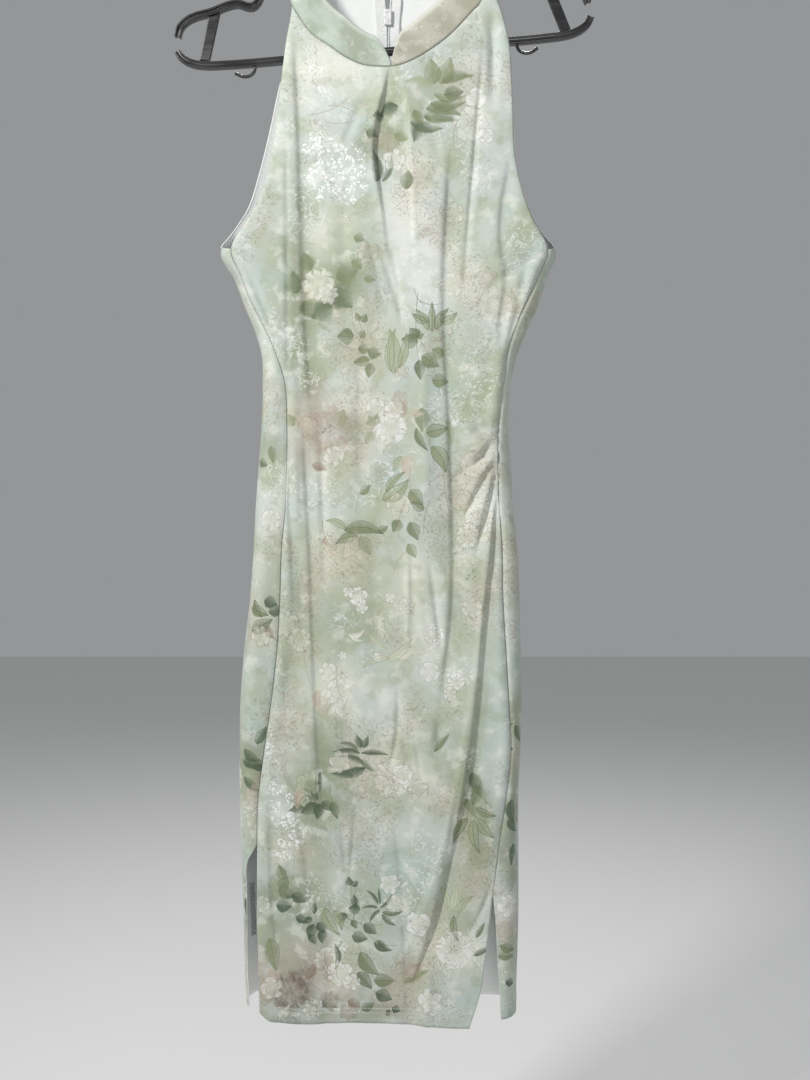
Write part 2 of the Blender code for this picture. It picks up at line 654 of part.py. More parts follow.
def build_hanger():
    loop = HOOK_RADIUS + HOOK_ROD
    turns = np.radians(np.arange(*HOOK_TURNS))
    arc = [(loop * math.cos(turn), HOOK_RADIUS + loop * math.sin(turn)) for turn in turns]
    hook = table("u d", *HOOK_SHANK, *arc)
    rod("hook", hook, 1, HOOK_ROD, ROD_STEP)
    hub = box("hub", HUB_SIZE, (0, 0, 0), HANGER_COLOUR, 0.35, bevel=HUB_EDGE)
    hub.location = hanger_point(0.0, HUB_TOP + HUB_SIZE[2] / 2)
    hub.rotation_euler = (0, -TILT, 0)
    rod("bar", BAR_ROUTE, 1, BAR_ROD, BAR_STEP, both_ways=True)
    for which, sign in (("left", -1), ("right", 1)):
        rod("arm_" + which, ARM_ROUTE, sign, ARM_ROD, ROD_STEP)
        rod("tab_" + which, TAB_ROUTE, sign, TAB_ROD, TAB_STEP)
        run = (STRUT_BOTTOM[0] - STRUT_TOP[0], STRUT_BOTTOM[1] - STRUT_TOP[1])
        length = math.hypot(*run)
        strut = box("strut_" + which, (STRUT_WIDTH, STRUT_THICKNESS, length), (0, 0, 0), HANGER_COLOUR, 0.45)
        for vertex in strut.data.vertices:
            slope = STRUT_TOP_SLOPE if vertex.co.z > 0 else STRUT_BOTTOM_SLOPE
            vertex.co.z -= sign * slope * vertex.co.x
        middle = ((STRUT_TOP[0] + STRUT_BOTTOM[0]) / 2, (STRUT_TOP[1] + STRUT_BOTTOM[1]) / 2)
        strut.location = hanger_point(sign * middle[0], middle[1])
        strut.rotation_euler = (0, -TILT - sign * math.atan2(run[0], run[1]), 0)


def main():
    for old in list(bpy.data.objects):
        bpy.data.objects.remove(old, do_unlink=True)
    for name in ("cheongsam", "cutters"):
        bpy.context.scene.collection.children.link(bpy.data.collections.new(name))
    build_cloth()
    build_zip()
    build_hanger()


main()
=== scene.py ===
"""Looks of a halter-neck cheongsam in printed stretch jersey on a moulded trouser-bar hanger.

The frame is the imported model: metres, +Z up, the front faces -Y, and the origin is the inner top of
the hook. Cloth tables are in millimetres: x from the garment's centre line, drop down from the hook
and depth back from the foremost cloth.
"""
import json
import math

import bpy
import numpy as np
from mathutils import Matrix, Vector

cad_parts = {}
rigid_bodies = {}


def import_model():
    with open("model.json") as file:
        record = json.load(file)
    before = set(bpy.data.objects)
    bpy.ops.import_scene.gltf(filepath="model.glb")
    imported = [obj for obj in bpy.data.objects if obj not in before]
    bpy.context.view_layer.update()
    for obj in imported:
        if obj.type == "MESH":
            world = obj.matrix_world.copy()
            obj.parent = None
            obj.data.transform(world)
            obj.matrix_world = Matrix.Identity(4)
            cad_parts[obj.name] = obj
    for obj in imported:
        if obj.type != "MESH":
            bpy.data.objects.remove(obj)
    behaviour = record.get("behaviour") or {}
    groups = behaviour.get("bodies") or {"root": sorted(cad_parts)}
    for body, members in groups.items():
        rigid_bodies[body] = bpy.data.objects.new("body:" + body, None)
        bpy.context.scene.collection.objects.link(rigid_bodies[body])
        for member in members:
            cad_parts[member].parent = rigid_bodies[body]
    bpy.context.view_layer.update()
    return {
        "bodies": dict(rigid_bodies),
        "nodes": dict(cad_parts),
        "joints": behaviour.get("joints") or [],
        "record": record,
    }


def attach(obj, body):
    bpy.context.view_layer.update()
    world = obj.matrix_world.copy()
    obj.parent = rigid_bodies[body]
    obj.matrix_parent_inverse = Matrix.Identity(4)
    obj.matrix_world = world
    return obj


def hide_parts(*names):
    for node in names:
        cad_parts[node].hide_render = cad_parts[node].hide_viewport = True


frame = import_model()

MM = 0.001
CENTRE_X = 18.0
HANGER_PLANE = 22.0
TILT = math.radians(4.8)
BODY = "dress"
PULL_BODY = "pull"
SIGNS = {"left": -1, "right": 1}

CLOTH_WALL = 0.9
COLLAR_WALL = 1.7
SEAM_GAP = 0.4
COLLAR_SEAM_GAP = 0.5
COLLAR_CENTRE_GAP = 0.8
UNDERARM_DROP = 388.0
UNDERARM_GAP = 1.2
UNDERARM_GAP_END_DROP = 415.0
SLIT_DROP = 985.0
SLIT_TOP = {"left": 986.0, "right": 1034.0}
END_RADIUS = 18.0
SEAM_FADE = 12.0

FRONT_COLUMNS = 156
BACK_COLUMNS = 130
ROWS_ABOVE_UNDERARM = 84
ROWS_TO_SLIT = 158
ROWS_BELOW_SLIT = 54
ALL_ROWS = ROWS_ABOVE_UNDERARM + ROWS_TO_SLIT + ROWS_BELOW_SLIT
BACK_WRAP_SHARE = 0.45
COLLAR_ROWS = 16
COLLAR_BARE_COLUMNS = 44
COLLAR_BACK_COLUMNS = 44

CENTRE_BACK_X = -1.0
CHAIN_HALF_GAP = 0.2
SLIDER_TOP_DROP = 127.0
SLIDER_LENGTH = 16.5
SLIDER_HALF_GAP = 1.6
SLIDER_SHELL = (8.0, 3.0)
NECK_HALF_GAP = 3.0
BACK_NECK_DROP = 108.0
NECK_DEPTH = 47.0
UNDERARM_DEPTH = 45.0
TAPE_WIDTH = 12.0
TAPE_WALL = 0.5
TAPE_TOP_DROP = 110.0
TAPE_BOTTOM_DROP = 560.0


def table(columns, *rows):
    """A table as a dictionary of columns."""
    return dict(zip(columns.split(), np.array(rows, dtype=float).T))


def print_table(columns, *rows):
    """A table of the print, whose tones, shares and bends are written in hundredths."""
    made = table(columns, *rows)
    return {name: values / 100 if name in HUNDREDTHS else values for name, values in made.items()}


HUNDREDTHS = ("tone", "strength", "ratio", "softness", "lines", "bend", "fill", "heart")


# The flattened tube's outline. Above the underarm only the front and fold columns are used.
SIDES = table(
    "drop fold_left back_left front_left front_right back_right fold_right depth",
    (95, -112, -96, -96, 98, 98, 111, 45),
    (120, -110, -96, -96, 102, 102, 115, 45),
    (145, -109, -96, -96, 112, 112, 125, 45),
    (180, -114, -102, -102, 121, 121, 134, 45),
    (220, -119, -107, -107, 124, 124, 137, 45),
    (247, -122, -110, -110, 125, 125, 138, 45),
    (300, -131, -118, -118, 128, 128, 141, 45),
    (340, -143, -130, -130, 138, 138, 151, 45),
    (360, -154, -141, -141, 146, 146, 158, 45),
    (388, -171, -157, -157, 160, 160, 171, 45),
    (415, -157, -148, -148, 151, 151, 161, 44),
    (441, -147, -138, -138, 139, 139, 153, 43),
    (465, -137, -125, -125, 128, 128, 142, 42),
    (492, -129, -113, -113, 120, 120, 131, 41),
    (519, -128, -104, -104, 117, 117, 125, 40),
    (563, -129, -101, -101, 111, 111, 122, 40),
    (603, -132, -101, -101, 110, 110, 125, 41),
    (643, -135, -102, -102, 111, 111, 127, 42),
    (683, -137, -106, -106, 114, 114, 131, 43),
    (737, -141, -108, -108, 115, 115, 134, 45),
    (790, -147, -111, -111, 118, 118, 135, 46),
    (843, -151, -117, -117, 121, 121, 136, 47),
    (892, -152, -124, -124, 123, 123, 135, 48),
    (940, -152, -130, -130, 118, 118, 133, 49),
    (985, -151, -131, -131, 111, 111, 133, 50),
    (1003, -150, -141, -131, 109, 109, 133, 50),
    (1033, -149, -142, -131, 105, 105, 133, 50),
    (1060, -148, -142, -131, 102, 107, 133, 50),
    (1100, -147, -142, -130, 97, 109, 132, 51),
    (1130, -146, -141, -129, 93, 111, 131, 51),
    (1170, -144, -140, -128, 81, 113, 131, 52),
)
NECK_SEAM = table(
    "x drop",
    (-96, 145), (-79, 170), (-58, 186), (-44, 195.5), (-25, 204), (-10, 206), (1, 206),
    (14, 204), (28, 198), (47, 186), (57, 179), (71, 166), (85, 150.5), (92, 143), (102, 120),
)
FRONT_HEM = table(
    "share drop",
    (0, 1153), (0.04, 1161), (0.1, 1163), (0.45, 1163), (0.64, 1164), (0.87, 1168), (1, 1169),
)
BACK_HEM = table("x drop", (-150, 1150), (0, 1155), (140, 1160))
HEM_FOLD_DROP = 1150.0
# The free edge of each back panel down to the underarm: how far round the tube's end it lies.
BACK_ARMHOLE = {
    "left": table(
        "drop degrees",
        (96, 176), (110, 176), (140, 164), (180, 156), (214, 150), (247, 144), (280, 138), (320, 131),
        (345, 123), (362, 110), (376, 92), (384, 66), (388, 22),
    ),
    "right": table(
        "drop degrees",
        (96, 176), (110, 174), (140, 162), (180, 152), (214, 148), (247, 144), (280, 138), (320, 131),
        (345, 123), (362, 110), (376, 92), (384, 68), (388, 31),
    ),
}
# How far the left back's free edge stands out beyond the front's, so that its white inside shows.
EDGE_FLARE = table("drop reach", (130, 0), (165, 5), (200, 8.5), (247, 10), (320, 9.5), (362, 6), (388, 0))
FLARE_SPREAD = 9.0
ARMHOLE_ROW_POWER = 1.7
WRAP_BLEND_DROP = 330.0
BACK_PANEL_WIDTH = 190.0
BACK_NECK = {
    "left": table("x drop depth", (-88, 108.5, 40), (-60, 108.3, 44), (-30, 108, 46), (-4, 108, 47)),
    "right": table("x drop depth", (92, 96.5, 40), (62, 101, 44), (30, 105.5, 46), (2, 108, 47)),
}
COLLAR_BARE = {
    "left": table(
        "x drop depth lean height",
        (-96, 144.6, 3.2, 0.6, 35), (-101, 127, 6, 0.5, 36), (-103.2, 113, 10.5, 0.4, 37),
        (-103.5, 106.2, 15.5, 0.3, 38), (-103.5, 106.0, 22, 0.3, 38), (-103, 106.2, 28, 0.3, 38),
        (-98, 107.4, 35.5, 0.2, 38), (-88, 108.1, 40, 0.1, 38),
    ),
    "right": table(
        "x drop depth lean height",
        (102, 119.6, 3.2, 0.5, 35), (104, 110, 6, 0.45, 36), (104.8, 100, 10.5, 0.4, 37),
        (104.5, 94.7, 15.5, 0.3, 38), (104.3, 94.4, 22, 0.3, 38), (104, 94.6, 28, 0.3, 38),
        (100, 95.6, 35.5, 0.2, 38), (92, 96.1, 40, 0.1, 38),
    ),
}
COLLAR_FRONT = {
    "left": table(
        "reach lean height", (0, 0, 33), (25, 0.13, 33), (44, 0.42, 33), (80, 0.62, 35), (97, 0.6, 35),
    ),
    "right": table(
        "reach lean height",
        (0, 0, 36), (13, 0.03, 36), (27, 0.19, 36), (46, 0.39, 36), (70, 0.58, 36), (101, 0.5, 35),
    ),
}
COLLAR_ROUNDING = {"left": 26.0, "right": 15.0}
COLLAR_END_POWER = {"left": 0.95, "right": 1.2}
COLLAR_BACK_LEAN = 3.0
COLLAR_HEIGHT = 38.0
COLLAR_STEP = 0.6

# Large soft folds, the same as in the solids: half width, how far they sink inward, and their line.
FOLD_STEEP_SHARE = 0.34
FOLD_EASY_SHARE = 1.5
FOLD_DEPTH_SHARE = 0.7
CREASE_DEPTH = 2.1
CREASE_WIDTH = 0.8
FRONT_FOLDS = (
    (9, 5, table("drop x", (160, -95), (220, -91), (353, -86), (447, -83), (560, -75))),
    (7, 4, table("drop x", (555, -85), (710, -77), (820, -73), (904, -69), (985, -62))),
    (10, 6, table("drop x", (280, 64), (433, 57), (600, 64), (740, 65), (860, 52))),
    (7, 4, table("drop x", (280, 126), (375, 113), (420, 118), (460, 113), (520, 117))),
    (7, 9, table("drop x", (610, 109), (680, 106), (760, 98), (817, 93), (892, 84), (1000, 64), (1140, 22))),
    (9, -3, table("drop x", (640, 99), (723, 96), (817, 87), (892, 75), (1000, 52), (1130, 4))),
    (14, -3, table("drop x", (660, 32), (720, 30), (800, 38))),
    (7, 3, table("drop x", (860, -118), (935, -94), (976, -87), (1060, -74))),
    (6, 3, table("drop x", (940, -119), (1060, -114), (1130, -104))),
    (8, 3, table("drop x", (940, 4), (1036, 14), (1190, 21))),
    (6, 3, table("drop x", (570, 108), (590, 96), (612, 80))),
    (6, 3, table("drop x", (600, 109), (640, 101), (700, 88))),
)
BACK_FOLDS = (
    (10, 5, table("drop x", (200, -62), (360, -58), (560, -66))),
    (11, 5, table("drop x", (230, 58), (420, 50), (640, 62))),
    (9, 4, table("drop x", (600, -84), (760, -78), (960, -88))),
    (10, 5, table("drop x", (640, 84), (820, 72), (1040, 52))),
    (8, -3, table("drop x", (560, 28), (700, 24), (860, 34))),
    (8, 4, table("drop x", (860, -40), (1000, -34), (1190, -30))),
)
PLEAT = table(
    "drop left right sink",
    (205, 0, 4, 0), (225, -4, 14, 3), (245, -9, 19, 5), (265, -13, 21, 5), (289, -15, 22, 5),
    (321, -11, 24, 4), (353, -6, 25, 2.5), (393, -2, 27, 1), (430, 2, 28, 0),
)
PLEAT_SOFTNESS = 2.4
LIP_OFFSET = 2.0
LIP_WIDTH = 3.0
LIP_SHARE = 0.16

# Creases: three points of a curve, half widths on its left and right, and how far it sinks.
FRONT_CREASES = (
    (-102, 285, -100, 400, -101, 545, 2.5, 2.5, 1.0),
    (-101, 560, -100, 640, -93, 750, 4, 4, 1.4),
    (-67, 560, -65, 640, -63, 735, 5, 5, 1.5),
    (95, 195, 84, 330, 74, 445, 3, 3, 1.6),
    (105, 150, 106, 190, 105, 245, 6, 6, 2.0),
    (109, 579, 99, 588, 86, 605, 3, 4, 1.6),
    (104, 590, 85, 603, 62, 622, 3.5, 4, 1.5),
    (108, 615, 100, 648, 88, 695, 3.5, 4, 2.0),
    (110, 610, 98, 628, 78, 652, 3, 3.5, 1.3),
    (110, 566, 96, 566, 78, 576, 3, 4, 1.2),
    (111, 546, 96, 538, 76, 542, 4, 4, 1.2),
    (110, 596, 93, 618, 74, 664, 3, 4, 1.5),
    (112, 626, 107, 665, 105, 715, 3, 3, 1.8),
    (112, 602, 98, 612, 84, 640, 2.5, 3.5, 1.6),
    (112, 598, 96, 594, 70, 600, 3, 3, 1.2),
    (111, 607, 102, 632, 97, 676, 2.5, 3, 1.6),
    (111, 594, 98, 580, 80, 560, 3, 3.5, 1.3),
    (19, 690, 21, 740, 19, 785, 4, 4, -1.2),
    (41, 700, 49, 750, 54, 795, 4, 4, 1.4),
    (4, 776, 18, 788, 32, 800, 3, 3, 1.1),
    (9, 828, 13, 870, 3, 905, 3, 3.5, 1.3),
    (12, 878, 20, 900, 34, 925, 3, 3, 1.1),
    (27, 884, 31, 905, 34, 926, 2.5, 3, 0.9),
    (50, 862, 52, 876, 50, 892, 6, 6, 2.0),
    (-48, 966, -43, 990, -42, 1015, 3, 3, 1.1),
    (-33, 950, -34, 995, -42, 1040, 3, 3, 1.2),
    (105, 1022, 97, 1048, 85, 1068, 3, 3, 1.3),
    (-9, 388, 4, 420, 15, 462, 3.5, 3.5, 1.1),
    (3, 392, 12, 425, 13, 460, 3, 3, 0.9),
    (-22, 372, -12, 400, -6, 440, 4, 4, 0.8),
    (-148, 398, -126, 438, -106, 498, 5, 5, 1.6),
    (-150, 392, -118, 410, -84, 424, 6, 6, 1.2),
    (140, 402, 128, 450, 121, 500, 5, 5, 1.6),
    (150, 394, 124, 412, 96, 430, 6, 6, 1.2),
    (42, 1080, 40, 1130, 38, 1175, 7, 7, -1.4),
    (-60, 1060, -58, 1110, -62, 1175, 8, 8, 1.2),
    (-26, 480, -30, 560, -24, 660, 9, 9, 1.0),
    (-40, 300, -46, 380, -42, 460, 10, 10, 0.9),
    (38, 480, 34, 560, 40, 640, 8, 8, -1.0),
    (-10, 660, -16, 760, -8, 850, 10, 10, 0.9),
    (-46, 760, -40, 840, -44, 930, 9, 9, 0.9),
    (70, 930, 60, 1010, 44, 1080, 5, 5, 1.4),
    (92, 880, 84, 950, 72, 1010, 4, 4, 1.2),
    (30, 232, 44, 262, 52, 300, 6, 6, 0.9),
    (-20, 232, -38, 262, -48, 300, 6, 6, 0.8),
    (-100, 620, -90, 700, -84, 780, 5, 5, 1.1),
)
BACK_CREASES = (
    (-12, 240, -16, 300, -14, 380, 5, 5, 1.2),
    (14, 250, 20, 330, 16, 420, 5, 5, 1.2),
    (-40, 480, -44, 560, -38, 650, 7, 7, 1.3),
    (34, 500, 38, 590, 32, 700, 7, 7, 1.2),
    (-92, 560, -70, 590, -44, 606, 4, 4, 1.2),
    (-92, 600, -72, 640, -50, 660, 4, 4, 1.1),
    (92, 560, 74, 584, 50, 598, 4, 4, 1.2),
    (92, 604, 70, 640, 46, 666, 4, 4, 1.2),
    (-60, 700, -52, 800, -58, 900, 8, 8, 1.4),
    (60, 900, 44, 980, 40, 1060, 6, 6, 1.4),
    (-20, 780, -14, 900, -20, 1010, 8, 8, 1.1),
    (-70, 980, -66, 1060, -74, 1150, 7, 7, 1.4),
    (12, 1010, 18, 1080, 16, 1150, 8, 8, -1.3),
    (84, 1010, 80, 1080, 86, 1150, 6, 6, 1.2),
    (-86, 400, -60, 420, -30, 430, 8, 8, 1.0),
    (86, 400, 62, 420, 34, 434, 8, 8, 1.0),
)
GATHER_DROP = 601.0
GATHER_REACH = 34.0
GATHER_WIDTH = 11.0
GATHER_DEPTH = 1.7
SEAM_WIDTH = 2.2


def along(columns, key, name, place):
    """Read a column at places along the key column, on a smooth curve through its rows."""
    keys = columns[key]
    values = columns[name]
    slopes = np.gradient(values, keys)
    place = np.clip(place, keys.min(), keys.max())
    row = np.clip(np.searchsorted(keys, place) - 1, 0, len(keys) - 2)
    gap = keys[row + 1] - keys[row]
    t = (place - keys[row]) / gap
    rise = values[row + 1] - values[row]
    near = slopes[row] * gap
    far = slopes[row + 1] * gap
    return values[row] + t * near + t * t * (3 * rise - 2 * near - far) + t ** 3 * (near + far - 2 * rise)


def chord_shares(columns, names):
    """How far along its own length each row of a route lies, from 0 to 1."""
    points = np.stack([columns[name] for name in names])
    steps = np.sqrt((np.diff(points, axis=1) ** 2).sum(axis=0))
    travelled = np.concatenate([[0.0], np.cumsum(steps)])
    return travelled / travelled[-1]


def route(columns, names, shares):
    """Points on the smooth curve through a table's rows, at shares of its length."""
    keyed = dict(columns, share=chord_shares(columns, names))
    return np.stack([along(keyed, "share", name, shares) for name in names])


def smoothstep(low, high, value):
    t = np.clip((value - low) / (high - low), 0.0, 1.0)
    return t * t * (3 - 2 * t)


def hump(off, width):
    """1 where there is no distance, fading softly to 0 past a width."""
    return np.exp(-(off / width) ** 2)


def side(name, drop):
    return along(SIDES, "drop", name, drop)


def front_depth(x, drop):
    """How far back the flattened tube's front lies, rounding away at both ends."""
    half = side("depth", drop) / 2
    tuck = np.zeros_like(x)
    for which, sign in SIGNS.items():
        inside = sign * (side("fold_" + which, drop) - x)
        lean = np.clip((END_RADIUS - inside) / END_RADIUS, 0.0, 1.0)
        tuck = np.maximum(tuck, half * (1 - np.sqrt(1 - lean ** 2)))
    return tuck


def fold_sink(x, drop, folds):
    """The sum of the soft folds: positive sinks inward."""
    total = np.zeros_like(x)
    for width, sink, line in folds:
        start = line["drop"][0]
        end = line["drop"][-1]
        taper = min(60.0, (end - start) / 3)
        strength = smoothstep(start, start + taper, drop) * (1 - smoothstep(end - taper, end, drop))
        off = x - along(line, "drop", "x", drop)
        across = off / np.where(off < 0, FOLD_STEEP_SHARE * width, FOLD_EASY_SHARE * width)
        total = total + FOLD_DEPTH_SHARE * sink * strength * np.exp(-across ** 2)
    return total


def crease_sink(x, drop, rows, pieces=14):
    """The sum of the creases, each a soft trough along a short curve, fading at both ends."""
    total = np.zeros_like(x)
    for x0, d0, x1, d1, x2, d2, left, right, sink in rows:
        reach = 4 * max(left, right)
        near = (x > min(x0, x1, x2) - reach) & (x < max(x0, x1, x2) + reach)
        near &= (drop > min(d0, d1, d2) - reach) & (drop < max(d0, d1, d2) + reach)
        if not near.any():
            continue
        px = x[near]
        pd = drop[near]
        t = np.linspace(0, 1, pieces + 1)
        cx = (1 - t) ** 2 * x0 + 2 * t * (1 - t) * x1 + t * t * x2
        cd = (1 - t) ** 2 * d0 + 2 * t * (1 - t) * d1 + t * t * d2
        best = np.full(len(px), 1e9)
        where = np.zeros(len(px))
        hand = np.zeros(len(px))
        for piece in range(pieces):
            ux = cx[piece + 1] - cx[piece]
            ud = cd[piece + 1] - cd[piece]
            length = ux * ux + ud * ud
            run = np.clip(((px - cx[piece]) * ux + (pd - cd[piece]) * ud) / length, 0.0, 1.0)
            ox = px - cx[piece] - run * ux
            od = pd - cd[piece] - run * ud
            off = np.hypot(ox, od)
            closer = off < best
            best = np.where(closer, off, best)
            where = np.where(closer, (piece + run) / pieces, where)
            hand = np.where(closer, ox * ud - od * ux, hand)
        width = CREASE_WIDTH * np.where(hand > 0, right, left)
        strength = np.sin(math.pi * np.clip(where, 0.02, 0.98)) ** 0.6
        total[near] += CREASE_DEPTH * sink * strength * hump(best, width)
    return total


def unevenness(x, drop, phase):
    """The slight waviness of soft jersey."""
    wave = np.sin(x * 0.071 + drop * 0.013 + phase) * np.sin(drop * 0.031 - x * 0.02 + 2 * phase)
    ripple = np.sin(x * 0.19 - drop * 0.022 + 3 * phase) * np.sin(drop * 0.083 + x * 0.05 + phase)
    return 0.55 * wave + 0.16 * ripple


def pleat_sink(x, drop):
    left = along(PLEAT, "drop", "left", drop)
    right = along(PLEAT, "drop", "right", drop)
    opening = smoothstep(left, left + PLEAT_SOFTNESS, x) * (1 - smoothstep(right - PLEAT_SOFTNESS, right, x))
    lips = hump(x - left + LIP_OFFSET, LIP_WIDTH) + 0.6 * hump(x - right - LIP_OFFSET, LIP_WIDTH)
    sink = along(PLEAT, "drop", "sink", drop)
    return opening * sink - LIP_SHARE * lips * sink


def patch(across, down, left, right, top, bottom):
    """A point grid between four boundary curves, each a function of its own share."""
    start = np.zeros(1)
    end = np.ones(1)
    corners = (
        (1 - down) * (1 - across) * top(start) + (1 - down) * across * top(end)
        + down * (1 - across) * bottom(start) + down * across * bottom(end)
    )
    sides = (1 - across) * left(down) + across * right(down)
    return sides + (1 - down) * top(across) + down * bottom(across) - corners


def upper_share(share_down):
    """Turn a share of all rows into a share of those above the underarm."""
    return np.clip(share_down * ALL_ROWS / ROWS_ABOVE_UNDERARM, 0.0, 1.0)


def lower_drop(share_down, hem):
    """The drop of a row below the underarm. Front and back share their rows down to the slit."""
    row = share_down * ALL_ROWS - ROWS_ABOVE_UNDERARM
    to_slit = np.clip(row / ROWS_TO_SLIT, 0.0, 1.0)
    past_slit = np.clip((row - ROWS_TO_SLIT) / ROWS_BELOW_SLIT, 0.0, 1.0)
    return UNDERARM_DROP + (SLIT_DROP - UNDERARM_DROP) * to_slit + (hem - SLIT_DROP) * past_slit


def seam_share(drop):
    """1 along the side seams, fading out at the underarm and the slit."""
    joined = smoothstep(UNDERARM_DROP - 10, UNDERARM_DROP + 10, drop)
    return joined * (1 - smoothstep(SLIT_DROP - 20, SLIT_DROP + 30, drop))


def front_point(share_across, share_down):
    """The front panel's print side as x, drop and depth."""
    across = share_across
    upper = upper_share(share_down)

    def armhole(which, corner_drop):
        def edge(down):
            drop = corner_drop + (UNDERARM_DROP - corner_drop) * down
            return np.stack([side("front_" + which, drop), drop])
        return edge

    def neck(at):
        x = NECK_SEAM["x"][0] + (NECK_SEAM["x"][-1] - NECK_SEAM["x"][0]) * at
        return np.stack([x, along(NECK_SEAM, "x", "drop", x)])

    def underarm(at):
        level = np.full_like(at, UNDERARM_DROP)
        left = side("front_left", level)
        return np.stack([left + (side("front_right", level) - left) * at, level])

    x, drop = patch(across, upper, armhole("left", NECK_SEAM["drop"][0]),
                    armhole("right", NECK_SEAM["drop"][-1]), neck, underarm)
    hem = along(FRONT_HEM, "share", "drop", across)
    skirt_drop = lower_drop(share_down, hem)
    left = side("front_left", skirt_drop)
    skirt_x = left + (side("front_right", skirt_drop) - left) * across
    x = np.where(upper < 1, x, skirt_x)
    drop = np.where(upper < 1, drop, skirt_drop)
    edge_reach = np.minimum(across, 1 - across) * (side("front_right", drop) - side("front_left", drop))
    free = smoothstep(0.0, SEAM_FADE, edge_reach)
    sink = (fold_sink(x, drop, FRONT_FOLDS) + pleat_sink(x, drop)) * free
    sink = sink + crease_sink(x, drop, FRONT_CREASES) * smoothstep(0.0, 3.0, edge_reach)
    sink = sink + unevenness(x, drop, 0.7) * free
    trough = 1.5 * hump(edge_reach, SEAM_WIDTH) - 1.4 * hump(edge_reach - 8, 5)
    sink = sink + seam_share(drop) * trough
    neck_reach = upper * (UNDERARM_DROP - NECK_SEAM["drop"].mean())
    sink = sink + 0.9 * hump(neck_reach, 1.8) * (upper < 0.2)
    knot = hump(drop - GATHER_DROP, GATHER_REACH) * (across > 0.5)
    ribs = np.sin((drop - GATHER_DROP) * 0.62 + 4 * np.sin(drop * 0.11))
    sink = sink + knot * ribs * GATHER_DEPTH * hump(edge_reach, GATHER_WIDTH)
    return np.stack([x, drop, front_depth(x, drop) + sink])


def zip_half_gap(drop):
    """Half the gap between the back panels: closed below the slider, parting above it."""
    slider_bottom = SLIDER_TOP_DROP + SLIDER_LENGTH
    return np.interp(drop, [BACK_NECK_DROP, SLIDER_TOP_DROP, slider_bottom],
                     [NECK_HALF_GAP, SLIDER_HALF_GAP, CHAIN_HALF_GAP])


def centre_back(drop, sign):
    depth = np.where(drop < UNDERARM_DROP,
                     np.interp(drop, [BACK_NECK_DROP, UNDERARM_DROP], [NECK_DEPTH, UNDERARM_DEPTH]),
                     side("depth", drop))
    return np.stack([CENTRE_BACK_X + sign * zip_half_gap(drop), drop, depth])


def edge_travel(drop, which, sign):
    """How far round a back panel's seam or slit edge lies from the start of the tube's end."""
    edge = np.where(drop < SLIT_TOP[which], side("front_" + which, drop), side("back_" + which, drop))
    past = sign * (edge - side("fold_" + which, drop)) + END_RADIUS
    return np.minimum(past, 0.0) + END_RADIUS * np.arcsin(np.clip(past / END_RADIUS, 0.0, 1.0))


def back_level(outward, drop, begin, which, sign):
    """One level of a back panel, from where it begins on the tube's end (0) to centre back (1)."""
    half = side("depth", drop) / 2
    tangent = side("fold_" + which, drop) - sign * END_RADIUS
    centre = centre_back(drop, sign)
    arc = END_RADIUS * math.pi - begin
    even_share = arc / (arc + np.abs(centre[0] - tangent))
    wrap = even_share + (BACK_WRAP_SHARE - even_share) * smoothstep(WRAP_BLEND_DROP, UNDERARM_DROP, drop)
    turn = np.clip(outward / wrap, 0.0, 1.0)
    run = np.clip((outward - wrap) / (1 - wrap), 0.0, 1.0)
    travelled = begin + arc * turn
    angle = np.maximum(travelled, 0.0) / END_RADIUS
    x = tangent + sign * np.minimum(travelled, 0.0)
    x = x + sign * END_RADIUS * np.sin(angle) + (centre[0] - tangent) * run
    depth = half * (1 - np.cos(angle)) + (centre[2] - 2 * half) * run
    free = smoothstep(0.0, 0.25, run) * (1 - smoothstep(0.8, 1.0, run))
    depth = depth - fold_sink(x, drop, BACK_FOLDS) * free
    depth = depth - crease_sink(x, drop, BACK_CREASES) * free - unevenness(x, drop, 2.1) * free
    off = travelled - begin
    depth = depth + seam_share(drop) * (1.3 * hump(off, SEAM_WIDTH) + 0.6 * hump(off, 9))
    return np.stack([x, drop, depth])


def back_point(outward, share_down, which):
    """A back panel's print side as x, drop and depth, from its front edge (0) to centre back (1)."""
    sign = SIGNS[which]
    upper = upper_share(share_down)
    neck = route(BACK_NECK[which], ("x", "drop", "depth"), outward)
    eased = 1 - (1 - upper) ** ARMHOLE_ROW_POWER
    drop = neck[1] + (UNDERARM_DROP - neck[1]) * eased
    begin = END_RADIUS * np.radians(along(BACK_ARMHOLE[which], "drop", "degrees", drop))
    above = back_level(outward, drop, begin, which, sign)
    top_begin = END_RADIUS * np.radians(along(BACK_ARMHOLE[which], "drop", "degrees", neck[1]))
    top = back_level(outward, neck[1], top_begin, which, sign)
    above = above + (neck - top) * (1 - upper) ** 2
    if which == "left":
        flare = hump(outward * BACK_PANEL_WIDTH, FLARE_SPREAD)
        above[0] = above[0] - along(EDGE_FLARE, "drop", "reach", drop) * flare
    hem_edge = along(BACK_HEM, "x", "drop", side("fold_" + which, np.full_like(outward, HEM_FOLD_DROP)))
    hem_centre = along(BACK_HEM, "x", "drop", np.full_like(outward, CENTRE_BACK_X))
    drop = lower_drop(share_down, hem_edge + (hem_centre - hem_edge) * outward)
    seam_gap = np.interp(drop, [UNDERARM_DROP, UNDERARM_GAP_END_DROP], [UNDERARM_GAP, SEAM_GAP])
    below = back_level(outward, drop, edge_travel(drop, which, sign) + seam_gap, which, sign)
    return np.where(upper < 1, above, below)


